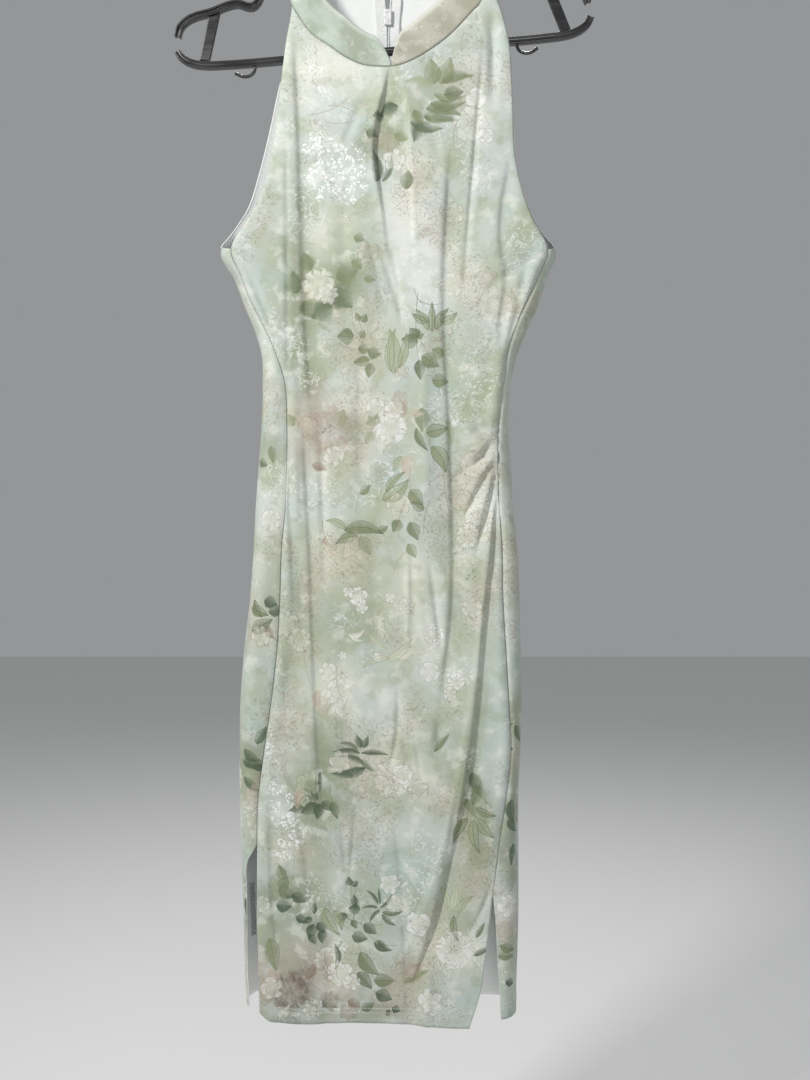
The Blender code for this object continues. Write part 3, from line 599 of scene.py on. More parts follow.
def collar_edge(which):
    """The collar's lower edge from centre front round to centre back: points, lean and height."""
    sign = SIGNS[which]
    half = FRONT_COLUMNS // 2
    columns = np.arange(half + 1) / FRONT_COLUMNS
    shares = 0.5 + sign * columns
    seam = front_point(shares, np.zeros_like(shares))
    middle = seam[0][0]
    reach = np.abs(seam[0] - middle)
    seam[0][0] = middle + sign * COLLAR_CENTRE_GAP
    seam[2] = seam[2] - COLLAR_STEP
    rounding = COLLAR_ROUNDING[which]
    corner = np.clip(1 - (reach + 1.5) / rounding, 0.0, 1.0)
    lean = -sign * along(COLLAR_FRONT[which], "reach", "lean", reach)
    height = along(COLLAR_FRONT[which], "reach", "height", reach)
    height = height * (1 - corner ** 2) ** COLLAR_END_POWER[which]
    tilt = np.sqrt(1 + lean ** 2)
    seam[0] = seam[0] + lean * COLLAR_SEAM_GAP / tilt
    seam[1] = seam[1] - COLLAR_SEAM_GAP / tilt
    bare_shares = np.arange(1, COLLAR_BARE_COLUMNS + 1) / COLLAR_BARE_COLUMNS
    names = ("x", "drop", "depth", "lean", "height")
    keyed = dict(COLLAR_BARE[which], share=chord_shares(COLLAR_BARE[which], names[:3]))
    bare = np.stack([along(keyed, "share", name, bare_shares) for name in names])
    back_shares = np.arange(1, COLLAR_BACK_COLUMNS + 1) / COLLAR_BACK_COLUMNS
    back = route(BACK_NECK[which], names[:3], back_shares)
    back[1] = back[1] - SEAM_GAP
    points = np.concatenate([seam, bare[:3], back], axis=1)
    back_lean = bare[3][-1] * (1 - back_shares)
    leans = np.concatenate([lean, -sign * bare[3], -sign * back_lean])
    heights = np.concatenate([height, bare[4], np.full_like(back_shares, bare[4][-1])])
    return points, leans, heights


def collar_point(which):
    """A function that places the collar half's print side for a grid's shares."""
    points, leans, heights = collar_edge(which)
    last = points.shape[1] - 1

    def place(share_across, share_down):
        around = share_across if which == "right" else 1 - share_across
        column = np.rint(around * last).astype(int)
        rise = 1 - share_down
        up = heights[column] * rise
        slope = np.sqrt(1 + leans[column] ** 2)
        x, drop, depth = points[:, column]
        inward = COLLAR_BACK_LEAN * (1 - 2 * depth / NECK_DEPTH) * up / COLLAR_HEIGHT
        roll = 0.9 * np.exp(-((1 - rise) * 9) ** 2) - 0.8 * np.sin(math.pi * rise)
        wave = 0.5 * np.sin(column * 0.11 + 2 * rise) * np.sin(math.pi * rise)
        facing = np.where(depth < 22, 1.0, -1.0)
        return np.stack([x + leans[column] * up / slope, drop - up / slope,
                         depth + inward + facing * (roll + wave)])

    return place, last


def tape_point(which):
    """The zip tape, lying just inside the back panel beside the centre back, a little ruffled."""
    sign = SIGNS[which]

    def place(share_across, share_down):
        outward = share_across if sign > 0 else 1 - share_across
        drop = TAPE_TOP_DROP + (TAPE_BOTTOM_DROP - TAPE_TOP_DROP) * share_down
        centre = centre_back(drop, sign)
        ruffle = np.sin(drop * 0.21 + 1.3 * sign) + 0.6 * np.sin(drop * 0.093 + sign)
        depth = centre[2] - CLOTH_WALL - 0.9 - 1.1 * outward * (1 + 0.7 * ruffle)
        return np.stack([centre[0] + sign * (0.2 + TAPE_WIDTH * outward), drop, depth])

    return place


def world(points):
    x, drop, depth = points
    return np.stack([(x + CENTRE_X) * MM, (depth - HANGER_PLANE) * MM, -drop * MM])


HOOK_RADIUS = 22.0
HOOK_ROD = 3.5
HUB_SIZE = (22.0, 7.0, 17.0)
HUB_TOP = 66.0
ARM_ROUTE = table(
    "u d",
    (12.5, 79.4), (40, 87.5), (80, 99.5), (112, 109), (117, 110.5), (121.5, 114), (126, 121),
    (131, 124.7), (136, 124.7), (141, 122.5), (146, 120.6), (152, 121), (176, 127.5), (190, 130),
    (200, 134), (207, 140.5), (210.3, 149),
)
BAR_ROUTE = table(
    "u d",
    (0, 182), (100, 182), (165, 181.7), (183, 180.8), (194, 178.8), (203, 174.8), (209, 169.5),
    (211.5, 164.5),
)
TAB_ROUTE = table("u d", (134, 186.7), (135.5, 190.8), (140, 194.5), (147, 195), (155, 191))
TAB_ROD = 1.6
STRUT_TOP = (171.0, 130.2)
STRUT_BOTTOM = (185.0, 175.9)
STRUT_WIDTH = 11.0
STRUT_THICKNESS = 3.0
STRUT_BEVEL = 1.1
STRUT_TOP_SLOPE = 0.62
STRUT_BOTTOM_SLOPE = 0.05

# Moulded sections, n across the rod in its plane and w towards the viewer: a recessed web between rims.
ARM_SECTION = (
    (-3.4, -3.2), (-3.4, 3.2), (-2.9, 3.5), (-1.9, 3.5), (-1.5, 3.1), (-1.2, 1.5), (0, 1.3), (1.2, 1.5),
    (1.5, 3.1), (1.9, 3.5), (2.9, 3.5), (3.4, 3.2), (3.4, -3.2), (2.9, -3.5), (1.9, -3.5), (1.5, -3.1),
    (1.2, -1.5), (0, -1.3), (-1.2, -1.5), (-1.5, -3.1), (-1.9, -3.5), (-2.9, -3.5),
)
BAR_SECTION = (
    (-3.5, -3.0), (-3.5, 3.0), (-3.0, 3.5), (-2.2, 3.4), (-1.8, 2.7), (0, 2.5), (1.8, 2.7), (2.2, 3.4),
    (3.0, 3.5), (3.5, 3.0), (3.5, -3.0), (3.0, -3.5), (2.2, -3.4), (1.8, -2.7), (0, -2.5), (-1.8, -2.7),
    (-2.2, -3.4), (-3.0, -3.5),
)

PULL_AXIS = (130.7, 50.0)
PULL_SIZE = (5.5, 1.0, 20.0)
PULL_BAR = 1.0
PULL_WINDOW = (2.5, 3.7)
BAIL_SIZE = (1.4, 3.8, 5.0)
BAIL_WINDOW = 1.9
SLIDER_BODY_DEPTH = 42.2

# The print, in the panels' own flat millimetres: x from the centre line and drop. Angles turn from
# +x towards the hem. Tones run 0 white, 20 cream, 40 pale sage, 60 sage, 75 olive, 90 dark green, and
# from -100 brown to -50 pale brown.
FRONT_WASH = print_table(
    "x drop across down turn tone strength",
    (94, 604, 16, 30, 0, -55, 50), (91, 668, 9, 10, 0, 95, 55), (100, 720, 12, 30, 0, 62, 50),
    (108, 604, 7, 12, 0, -85, 55), (62, 660, 5, 90, 0, 72, 40), (88, 860, 9, 60, 12, 80, 45),
    (-50, 205, 38, 22, 0, 10, 75), (-98, 200, 14, 60, 0, 30, 35), (-70, 262, 30, 34, 0, 0, 0),
    (-10, 230, 30, 14, 20, 16, 45), (4, 240, 10, 34, 0, 55, 60), (2, 272, 12, 18, 0, 72, 55),
    (-16, 282, 9, 24, 60, 80, 55), (24, 262, 10, 30, -20, 60, 55), (40, 225, 26, 18, -20, 62, 45),
    (60, 240, 22, 20, 10, 58, 40), (95, 215, 24, 30, 0, 5, 35), (30, 310, 22, 26, 0, 10, 55),
    (45, 290, 34, 16, 0, 45, 40), (66, 310, 12, 40, 0, 62, 50), (96, 262, 14, 20, 0, 10, 40),
    (-112, 340, 12, 40, 10, 45, 40), (-118, 385, 14, 18, 0, 62, 40), (-92, 355, 18, 32, 0, 72, 55),
    (-86, 395, 15, 40, 0, 80, 60), (-60, 372, 22, 22, 0, 8, 75), (-32, 385, 26, 22, 0, 55, 50),
    (-22, 352, 18, 26, 20, 50, 40), (-20, 402, 18, 14, 0, 62, 45), (-64, 425, 34, 26, 0, 68, 75),
    (-42, 432, 14, 16, 0, 80, 55), (20, 370, 24, 50, 0, 6, 70), (44, 410, 24, 34, 0, 6, 45),
    (100, 418, 20, 14, 0, 30, 60), (104, 440, 26, 20, 0, 8, 75), (125, 390, 16, 40, 0, 55, 40),
    (140, 370, 12, 24, 30, 55, 50), (145, 345, 10, 14, 30, 60, 35), (68, 420, 8, 50, 0, 50, 35),
    (-95, 462, 20, 20, 0, -55, 45), (-84, 490, 14, 50, 0, 78, 60), (-90, 525, 18, 30, 0, 66, 45),
    (-60, 505, 24, 22, 0, 52, 55), (-76, 545, 12, 26, 0, -80, 60), (-40, 470, 26, 26, 0, 42, 55),
    (-20, 500, 24, 26, 0, 40, 45), (-96, 560, 14, 20, 0, 12, 60), (-40, 540, 26, 20, 0, 12, 60),
    (-2, 520, 16, 30, 0, 46, 50), (0, 560, 26, 18, 0, 6, 70), (14, 490, 20, 16, 0, 36, 40),
    (34, 560, 10, 22, 0, 62, 55), (22, 590, 10, 40, 0, 30, 50), (-60, 585, 34, 30, 0, -60, 65),
    (-36, 566, 14, 14, 0, 66, 55), (-35, 600, 26, 20, 0, 16, 50), (-30, 630, 34, 14, 30, 50, 50),
    (88, 520, 30, 34, 0, 45, 55), (98, 510, 12, 24, 10, 60, 45), (104, 545, 18, 16, 0, 40, 40),
    (75, 555, 16, 18, 0, 62, 45), (95, 590, 18, 12, -30, 12, 65), (96, 565, 14, 14, 0, 50, 45),
    (86, 640, 9, 46, 22, 34, 70), (92, 655, 12, 22, 10, 4, 80), (78, 690, 14, 50, 0, 26, 70),
    (100, 680, 8, 26, 0, 36, 50), (-10, 640, 18, 12, 0, 50, 40), (8, 655, 20, 18, 0, 18, 50),
    (-40, 680, 40, 30, 0, 50, 55), (-66, 690, 14, 30, 0, 10, 55), (-50, 710, 30, 30, 0, 20, 60),
    (-84, 730, 14, 36, 0, 68, 50), (-16, 700, 30, 30, 0, 48, 45), (-2, 725, 30, 30, 0, 42, 40),
    (30, 725, 18, 34, 0, 14, 65), (-40, 752, 40, 26, 0, 60, 45), (-60, 790, 34, 30, 0, 60, 50),
    (-20, 790, 26, 36, 0, 58, 42), (-98, 790, 12, 30, 0, 70, 45), (-104, 820, 14, 26, 0, 66, 50),
    (-86, 815, 14, 30, 0, 30, 50), (18, 760, 26, 26, 0, 30, 40), (40, 790, 30, 26, 0, 12, 55),
    (66, 760, 10, 40, 0, 60, 40), (68, 812, 12, 26, 0, 50, 50), (86, 770, 12, 60, 0, 45, 35),
    (0, 852, 18, 20, 0, 2, 70), (30, 860, 26, 30, 0, 34, 50), (-46, 830, 20, 24, 0, 8, 60),
    (-74, 860, 10, 40, 0, 20, 40), (-40, 870, 34, 24, 0, 50, 40), (54, 880, 14, 34, 30, 60, 45),
    (74, 860, 14, 40, 10, 40, 40), (-30, 892, 36, 12, 0, 78, 55), (-40, 910, 34, 14, 0, 62, 50),
    (0, 910, 26, 22, 0, 14, 65), (-80, 915, 22, 26, 0, 62, 55), (-66, 900, 10, 40, 0, 80, 55),
    (-100, 870, 20, 34, 0, 6, 40), (46, 925, 22, 24, 0, 18, 65), (-18, 935, 40, 14, 0, 52, 45),
    (-70, 945, 26, 18, 0, 84, 60), (-90, 960, 22, 30, 0, 70, 45), (-40, 948, 30, 14, 0, 60, 40),
    (-4, 970, 26, 16, 0, 14, 45), (80, 930, 16, 30, 10, 74, 60), (84, 970, 18, 30, 0, 80, 50),
    (92, 1000, 16, 26, 0, 66, 50), (66, 1000, 12, 26, 20, 70, 45), (-72, 985, 14, 30, 0, 72, 45),
    (-106, 995, 16, 30, 0, 22, 50), (-104, 1035, 20, 24, 0, 84, 60), (-90, 1040, 14, 22, 0, 76, 45),
    (30, 1035, 14, 12, 0, 62, 45), (-20, 1050, 26, 20, 0, 70, 40), (-72, 1060, 18, 22, 0, 86, 45),
    (-100, 1085, 24, 16, 0, 62, 50), (-122, 1075, 12, 26, 0, 70, 55), (66, 1060, 24, 26, 0, 62, 50),
    (50, 1080, 14, 20, -30, 30, 50), (84, 1085, 14, 22, 0, 74, 50), (66, 1095, 26, 18, 0, 8, 75),
    (-60, 1090, 30, 20, 0, 14, 60), (-90, 1105, 40, 22, 0, -60, 50), (-94, 1132, 26, 24, 0, -95, 80),
    (-66, 1110, 18, 22, 0, -80, 55), (-48, 1118, 20, 26, 0, 4, 80), (-40, 1145, 40, 14, 0, -70, 60),
    (-28, 1100, 20, 26, 0, 55, 50), (-60, 1152, 60, 8, 0, 74, 45), (22, 1112, 26, 10, -30, -60, 50),
    (14, 1130, 26, 12, 0, 60, 30), (40, 1110, 20, 20, 0, 44, 35), (-115, 1118, 14, 20, 0, -45, 50),
)

# Leaves lie from their base along an angle. Ratio is half the width over the length, softness is how
# far the edge bleeds, and lines is how strongly the outline and veins are drawn.
FRONT_LEAVES = print_table(
    "x drop turn length ratio tone softness lines bend",
    (46, 224, -97, 26, 32, 62, 15, 50, 0), (52, 224, -68, 29, 28, 62, 15, 50, 5),
    (44, 226, -172, 28, 20, 50, 50, 10, 10), (54, 222, -10, 33, 16, 72, 30, 30, -10),
    (56, 234, -8, 20, 34, 78, 20, 50, 0), (46, 234, 4, 30, 13, 66, 30, 30, 12),
    (42, 243, -2, 36, 14, 70, 30, 30, 10), (38, 248, 12, 36, 19, 72, 20, 40, -12),
    (36, 256, 8, 34, 21, 74, 20, 40, -8), (22, 262, 10, 34, 16, 80, 30, 30, 8),
    (34, 262, 112, 22, 34, 82, 50, 20, 0), (26, 250, 60, 18, 30, 70, 50, 20, 0),
    (10, 244, 152, 20, 34, 88, 35, 40, 10), (-4, 254, 168, 12, 40, 84, 40, 30, 0),
    (-22, 272, 10, 12, 50, 82, 45, 20, 0), (6, 272, 20, 16, 40, 66, 60, 10, 0),
    (-12, 322, -96, 34, 16, 90, 50, 30, 10), (-6, 320, -70, 28, 12, 80, 50, 50, 10),
    (18, 328, -84, 20, 34, 76, 25, 30, 0), (-34, 376, 20, 12, 45, 70, 35, 20, 0),
    (-36, 400, 40, 14, 36, 68, 40, 30, 0), (-24, 418, 10, 12, 36, 66, 40, 30, 0),
    (-58, 428, 40, 30, 46, 80, 45, 20, 0), (-84, 440, 60, 22, 42, 76, 45, 20, 0),
    (-56, 446, 150, 24, 44, 82, 45, 30, 0), (-92, 434, -100, 24, 40, 80, 50, 20, 0),
    (-52, 418, -20, 24, 40, 72, 50, 20, 0), (-78, 410, -110, 20, 40, 74, 50, 20, 0),
    (-34, 476, 178, 17, 46, 74, 15, 60, 0), (-29, 461, -110, 9, 34, 68, 20, 50, 0),
    (-26, 462, -60, 9, 44, 74, 20, 50, 0), (-28, 478, -60, 9, 44, 66, 20, 50, 0),
    (-30, 488, 10, 13, 36, 70, 20, 50, 0), (-20, 492, 12, 13, 46, 74, 20, 50, 0),
    (-18, 500, 172, 17, 30, 70, 20, 50, 0), (-17, 503, 100, 15, 34, 72, 20, 50, 0),
    (30, 482, 190, 17, 42, 74, 15, 60, 0), (28, 476, -10, 8, 50, 70, 20, 50, 0),
    (30, 478, -130, 13, 46, 76, 15, 60, 0), (34, 496, 32, 20, 38, 72, 15, 60, 0),
    (56, 496, -150, 14, 38, 66, 20, 50, 0), (44, 520, 4, 17, 40, 68, 20, 60, 0),
    (31, 500, 86, 20, 26, 80, 15, 60, 0), (6, 514, -96, 46, 15, 42, 15, 100, 6),
    (3, 512, -84, 44, 10, 40, 15, 100, -8), (11, 508, -78, 36, 12, 45, 15, 100, 5),
    (40, 470, -120, 24, 16, 52, 20, 100, 10), (48, 470, -60, 26, 16, 58, 20, 100, -10),
    (44, 472, -90, 30, 12, 60, 20, 100, 0), (52, 462, -30, 20, 20, 56, 20, 100, 10),
    (40, 462, -150, 18, 20, 56, 20, 100, -10), (-50, 566, -70, 18, 34, 52, 20, 60, 0),
    (-94, 566, -120, 14, 40, 62, 30, 20, 0), (-90, 556, 60, 16, 40, -50, 40, 20, 0),
    (-76, 604, 20, 16, 30, -75, 30, 40, 0), (-8, 556, 150, 16, 40, 56, 40, 30, 0),
    (-16, 572, 120, 14, 36, 52, 40, 30, 0), (14, 552, 170, 18, 30, -62, 35, 40, 0),
    (16, 556, -100, 18, 30, -60, 40, 40, 0), (22, 552, 10, 14, 34, -50, 40, 30, 0),
    (34, 548, 90, 24, 30, 70, 25, 40, 0), (38, 573, -14, 23, 28, 62, 12, 90, 0),
    (28, 568, 62, 26, 14, 76, 15, 60, 10), (44, 586, 62, 30, 24, 60, 12, 90, -10),
    (60, 560, 80, 24, 16, 50, 30, 40, 0), (22, 594, 100, 26, 30, -45, 25, 30, 0),
    (14, 596, 120, 18, 26, 46, 30, 50, 0), (-28, 634, -40, 14, 30, 70, 25, 50, 0),
    (-6, 640, -38, 34, 20, 50, 15, 100, 10), (-2, 632, -46, 28, 12, 52, 15, 100, -10),
    (22, 630, 50, 20, 34, 66, 15, 80, 0), (36, 650, -150, 16, 28, 66, 20, 70, 0),
    (12, 660, 120, 14, 40, 72, 15, 60, 0), (22, 662, 66, 20, 30, 72, 15, 70, 0),
    (20, 684, 60, 16, 30, 58, 20, 70, 0), (-44, 670, 6, 40, 16, 72, 20, 70, -12),
    (-42, 668, -160, 22, 16, 44, 20, 100, 10), (-30, 676, 160, 24, 20, 66, 25, 70, 10),
    (-28, 676, 60, 22, 26, 56, 30, 60, 0), (-32, 678, 120, 22, 24, -45, 30, 60, 0),
    (-10, 672, -30, 12, 30, 70, 20, 60, 0), (-64, 676, 60, 12, 14, -80, 20, 90, 20),
    (-60, 688, 30, 16, 10, -60, 20, 90, 20), (-40, 775, -20, 18, 14, 2, 15, 50, 20),
    (-38, 776, 20, 14, 12, 4, 15, 50, 10), (-2, 800, -40, 34, 12, 20, 20, 100, 10),
    (6, 796, -24, 24, 22, 10, 20, 100, 10), (2, 798, 160, 30, 10, 25, 20, 100, 10),
    (-20, 772, 40, 26, 8, 20, 20, 100, 10), (-58, 822, -100, 16, 34, 4, 12, 60, 0),
    (-54, 824, -40, 14, 34, 2, 12, 60, 0), (-56, 828, 40, 18, 30, 2, 12, 60, 0),
    (-60, 830, 110, 18, 30, 6, 12, 60, 0), (-46, 826, -20, 14, 34, 4, 12, 60, 0),
    (-46, 832, 30, 14, 30, 6, 12, 60, 0), (-52, 846, 60, 14, 22, 0, 10, 60, 0),
    (-52, 846, 130, 12, 22, 0, 10, 60, 0), (-52, 846, -20, 12, 20, 0, 10, 60, 0),
    (-70, 830, 90, 20, 30, -50, 40, 30, 0), (-28, 893, 182, 28, 10, 92, 30, 30, 6),
    (-27, 893, 4, 28, 10, 90, 30, 30, -5), (-27, 888, -110, 14, 26, 92, 20, 30, 0),
    (-25, 888, -66, 13, 26, 86, 20, 30, 0), (-30, 890, 200, 20, 12, 80, 30, 30, 10),
    (-22, 908, 172, 32, 16, 92, 25, 30, -10), (-24, 904, 196, 26, 12, 86, 25, 30, 10),
    (-34, 916, 186, 24, 14, 84, 30, 30, 0), (-28, 900, 40, 18, 16, 76, 30, 30, 0),
    (46, 892, -50, 24, 14, 76, 40, 30, 0), (-68, 912, 90, 20, 10, 94, 25, 20, 0),
    (-84, 930, -30, 18, 30, 74, 30, 50, 0), (-70, 944, 150, 20, 30, 90, 20, 50, 0),
    (-68, 944, 100, 16, 34, 92, 20, 50, 0), (-66, 942, 40, 14, 34, 86, 20, 50, 0),
    (-70, 940, -140, 16, 30, 84, 20, 50, 0), (-56, 942, 72, 18, 26, 80, 25, 50, 0),
    (-84, 948, 170, 16, 26, 80, 30, 50, 0), (-88, 930, 100, 20, 26, -60, 40, 40, 0),
    (84, 914, 70, 24, 24, 84, 25, 50, 0), (92, 926, 110, 22, 24, 78, 25, 60, 0),
    (78, 940, 60, 22, 20, 78, 30, 60, 0), (88, 948, 20, 22, 16, 72, 30, 80, 10),
    (86, 960, 80, 34, 14, 58, 25, 100, 10), (90, 958, 50, 26, 18, 56, 25, 100, 10),
    (80, 960, 120, 28, 16, 66, 25, 100, 10), (-38, 1026, -100, 9, 40, 92, 15, 50, 0),
    (-36, 1026, -40, 8, 40, 88, 15, 50, 0), (-33, 1046, -96, 12, 28, 90, 12, 40, 0),
    (-28, 1050, 190, 12, 44, 92, 12, 40, 0), (-40, 1056, 176, 12, 30, 90, 12, 40, 0),
    (-44, 1058, 130, 8, 34, 86, 15, 40, 0), (-36, 1060, 60, 10, 34, 84, 15, 40, 0),
    (-92, 1056, 30, 14, 30, 90, 12, 40, 0), (-74, 1054, -86, 12, 24, 90, 12, 40, 0),
    (-76, 1058, 150, 10, 36, 90, 15, 40, 0), (-70, 1062, 60, 14, 34, 94, 15, 40, 0),
    (-74, 1064, 110, 16, 34, 94, 15, 40, 0), (-66, 1070, 90, 14, 34, 90, 15, 40, 0),
    (-78, 1074, 60, 12, 34, 88, 15, 40, 0), (-64, 1048, 60, 32, 18, 50, 15, 100, 10),
    (-54, 1050, 70, 22, 18, 46, 15, 100, -10), (-24, 1064, 38, 16, 34, 86, 12, 60, 0),
    (-36, 1076, 10, 16, 36, 84, 12, 60, 0), (-14, 1082, 24, 20, 20, 90, 12, 50, 10),
    (-10, 1080, 50, 14, 20, 84, 15, 50, 0), (-10, 1044, -130, 18, 8, 84, 15, 80, 10),
    (-8, 1044, -95, 16, 7, 80, 15, 80, 0), (-10, 1048, 180, 16, 7, 80, 15, 80, 10),
    (-8, 1048, -50, 18, 7, 78, 15, 80, 10), (-6, 1052, 0, 20, 10, 74, 15, 90, 10),
    (-6, 1054, 40, 18, 12, 74, 15, 90, 10), (-8, 1050, 130, 16, 10, 78, 15, 90, 10),
    (10, 1036, 60, 24, 22, 6, 15, 100, 0), (-28, 1092, 50, 30, 22, 72, 12, 90, 10),
    (-30, 1112, 50, 22, 26, 76, 12, 90, 0), (-14, 1120, 2, 20, 32, 72, 12, 80, 0),
    (-12, 1132, 26, 18, 36, 88, 12, 80, 0), (4, 1148, 20, 9, 46, 92, 15, 60, 0),
    (2, 1150, 120, 7, 40, 90, 15, 60, 0), (34, 1106, 150, 22, 30, -62, 35, 40, 0),
    (16, 1124, -30, 30, 12, 66, 50, 20, 0), (-110, 1030, 20, 18, 34, 86, 20, 50, 0),
    (-108, 1030, -60, 16, 34, 82, 25, 50, 0), (-112, 1046, 0, 16, 42, 94, 15, 30, 0),
    (-96, 1034, 30, 16, 34, 90, 20, 40, 0), (-104, 1020, -110, 16, 30, 74, 30, 60, 0),
    (-118, 1078, 80, 34, 20, 64, 35, 60, 0), (-118, 1108, 70, 24, 24, -55, 35, 50, 0),
    (-82, 1120, -60, 22, 24, -85, 25, 60, 0), (-70, 1110, -40, 20, 26, -75, 25, 60, 0),
    (-60, 1124, -80, 24, 20, -70, 25, 80, 0), (-50, 1104, -100, 20, 14, 84, 20, 60, 10),
    (-66, 1142, 20, 16, 34, 84, 25, 50, 0), (-40, 1140, 30, 16, 34, -85, 25, 50, 0),
    (-26, 1150, -30, 14, 34, 80, 25, 50, 0), (60, 1050, -110, 24, 14, 34, 20, 100, 10),
    (64, 1052, -80, 30, 12, 30, 20, 100, 0), (70, 1054, -50, 24, 14, 40, 20, 100, -10),
    (66, 1056, 80, 26, 12, 60, 25, 90, 10), (86, 1096, -30, 20, 14, 80, 25, 50, 0),
    (88, 1078, -60, 18, 14, 76, 25, 50, 0),
)

# Flowers: the fill is how opaque their petals are, lines how strongly they are drawn, heart the tone
# of the stippled centre.
FRONT_FLOWERS = print_table(
    "x drop turn radius petals tone fill lines heart",
    (86, 604, 0, 15, 9, -12, 70, 100, 30), (91, 668, 20, 18, 12, 10, 60, 100, 100),
    (74, 640, 40, 12, 7, -30, 50, 100, -60), (94, 634, 10, 10, 6, 5, 60, 100, -70),
    (82, 264, 20, 20, 5, 4, 55, 70, -85), (98, 276, 0, 9, 4, 0, 80, 60, 10),
    (88, 238, 90, 12, 3, 0, 75, 30, 0), (6, 298, 30, 13, 5, 4, 90, 90, 60),
    (10, 330, 0, 8, 5, 10, 40, 90, -70), (66, 352, 10, 12, 5, 10, 30, 90, -60),
    (-20, 392, 0, 12, 6, 30, 15, 100, -50), (-70, 424, 15, 19, 8, 12, 80, 50, 20),
    (-60, 434, 40, 12, 7, 5, 70, 50, 30), (64, 424, 0, 14, 9, 12, 70, 90, -60),
    (100, 418, 0, 11, 6, -45, 40, 70, -50), (108, 446, 10, 20, 8, 4, 35, 70, 20),
    (84, 476, 20, 21, 12, 18, 35, 100, -50), (60, 462, 0, 13, 8, 20, 40, 100, 30),
    (48, 474, 0, 9, 8, 40, 30, 100, 60), (14, 512, 0, 8, 6, -40, 40, 90, -60),
    (104, 500, 0, 18, 7, 50, 35, 60, 50), (78, 548, 0, 16, 9, 40, 35, 90, 80),
    (-60, 570, 10, 27, 6, -62, 62, 50, -95), (-54, 596, 40, 12, 5, 6, 70, 80, -50),
    (-80, 566, 0, 11, 5, -40, 50, 70, -60), (2, 568, 0, 19, 11, 0, 95, 50, 40),
    (6, 550, 40, 11, 6, 2, 90, 40, 30), (12, 540, 0, 10, 5, -55, 55, 50, -85),
    (-12, 548, 0, 11, 5, 4, 65, 60, 50), (4, 588, 0, 11, 6, 38, 50, 70, 60),
    (-10, 612, 0, 11, 6, 52, 60, 70, 75), (10, 644, 0, 14, 5, 18, 65, 80, 30),
    (92, 658, 0, 17, 8, 2, 70, 70, -60), (80, 676, 0, 14, 9, 10, 55, 100, -60),
    (104, 676, 0, 8, 6, -40, 45, 80, -90), (50, 668, 0, 13, 10, 42, 35, 100, 70),
    (50, 690, 30, 13, 10, 50, 45, 100, 70), (-30, 680, 0, 12, 5, 55, 45, 70, -80),
    (-58, 684, 20, 9, 5, -45, 35, 90, -70), (84, 716, 0, 30, 14, 22, 30, 100, 85),
    (84, 748, 0, 12, 6, 14, 65, 70, 30), (-30, 736, 15, 11, 5, 0, 98, 60, 20),
    (-26, 748, 50, 7, 5, 0, 98, 60, 20), (-40, 732, 0, 6, 4, 0, 95, 50, 20),
    (-32, 720, 0, 15, 12, 40, 20, 100, 60), (2, 738, 0, 6, 4, 2, 90, 50, 10),
    (18, 746, 0, 9, 9, 8, 60, 90, -90), (-102, 764, 0, 15, 7, 16, 50, 90, 60),
    (-88, 780, 0, 14, 7, 12, 45, 90, 60), (-46, 796, 0, 5, 5, 0, 98, 30, 0),
    (-11, 797, 0, 5, 5, 0, 98, 30, 0), (44, 774, 0, 10, 9, 2, 55, 80, 10),
    (42, 812, 0, 12, 5, 2, 75, 40, 10), (68, 822, 0, 10, 7, 2, 80, 80, 75),
    (62, 834, 0, 8, 6, 6, 65, 90, -80), (-60, 812, 0, 11, 5, 6, 85, 60, 20),
    (-50, 832, 20, 15, 6, 4, 85, 70, 20), (-64, 846, 0, 11, 5, -45, 50, 60, -60),
    (4, 918, 10, 22, 6, 10, 80, 80, -70), (14, 914, 50, 12, 5, 0, 85, 60, -40),
    (-14, 926, 0, 18, 12, 20, 25, 100, -50), (30, 930, 0, 12, 5, 10, 50, 90, -60),
    (-48, 902, 0, 13, 5, 10, 70, 60, 30), (-80, 924, 0, 14, 6, 30, 50, 80, 80),
    (88, 958, 0, 20, 12, 50, 35, 100, 50), (94, 996, 0, 14, 8, 60, 40, 90, 60),
    (2, 1024, 30, 12, 6, 2, 90, 50, -40), (6, 1044, 0, 10, 6, 4, 75, 60, -40),
    (30, 1064, 15, 15, 4, 2, 85, 90, -40), (-106, 1026, 0, 15, 7, 60, 50, 70, 85),
    (-98, 1132, 0, 22, 7, -95, 80, 50, -100), (-116, 1128, 0, 13, 5, 4, 70, 60, 40),
    (-48, 1114, 0, 15, 6, 0, 95, 60, 30), (-36, 1122, 30, 10, 5, 4, 85, 60, -50),
    (-62, 1100, 0, 14, 6, 6, 60, 90, -70), (-58, 1142, 0, 11, 6, -80, 60, 80, -95),
    (-40, 1152, 0, 10, 6, -75, 60, 80, -90), (-78, 1150, 0, 8, 5, 10, 60, 80, -90),
    (42, 1140, 10, 14, 5, 2, 85, 50, 20), (46, 1148, 50, 9, 4, 0, 85, 50, 20),
    (66, 1090, 0, 22, 11, 2, 85, 60, 80), (68, 1080, 0, 11, 7, 10, 70, 70, 90),
    (24, 1112, 0, 8, 5, -50, 50, 60, -60), (-126, 1044, 0, 10, 6, 6, 60, 70, 60),
)
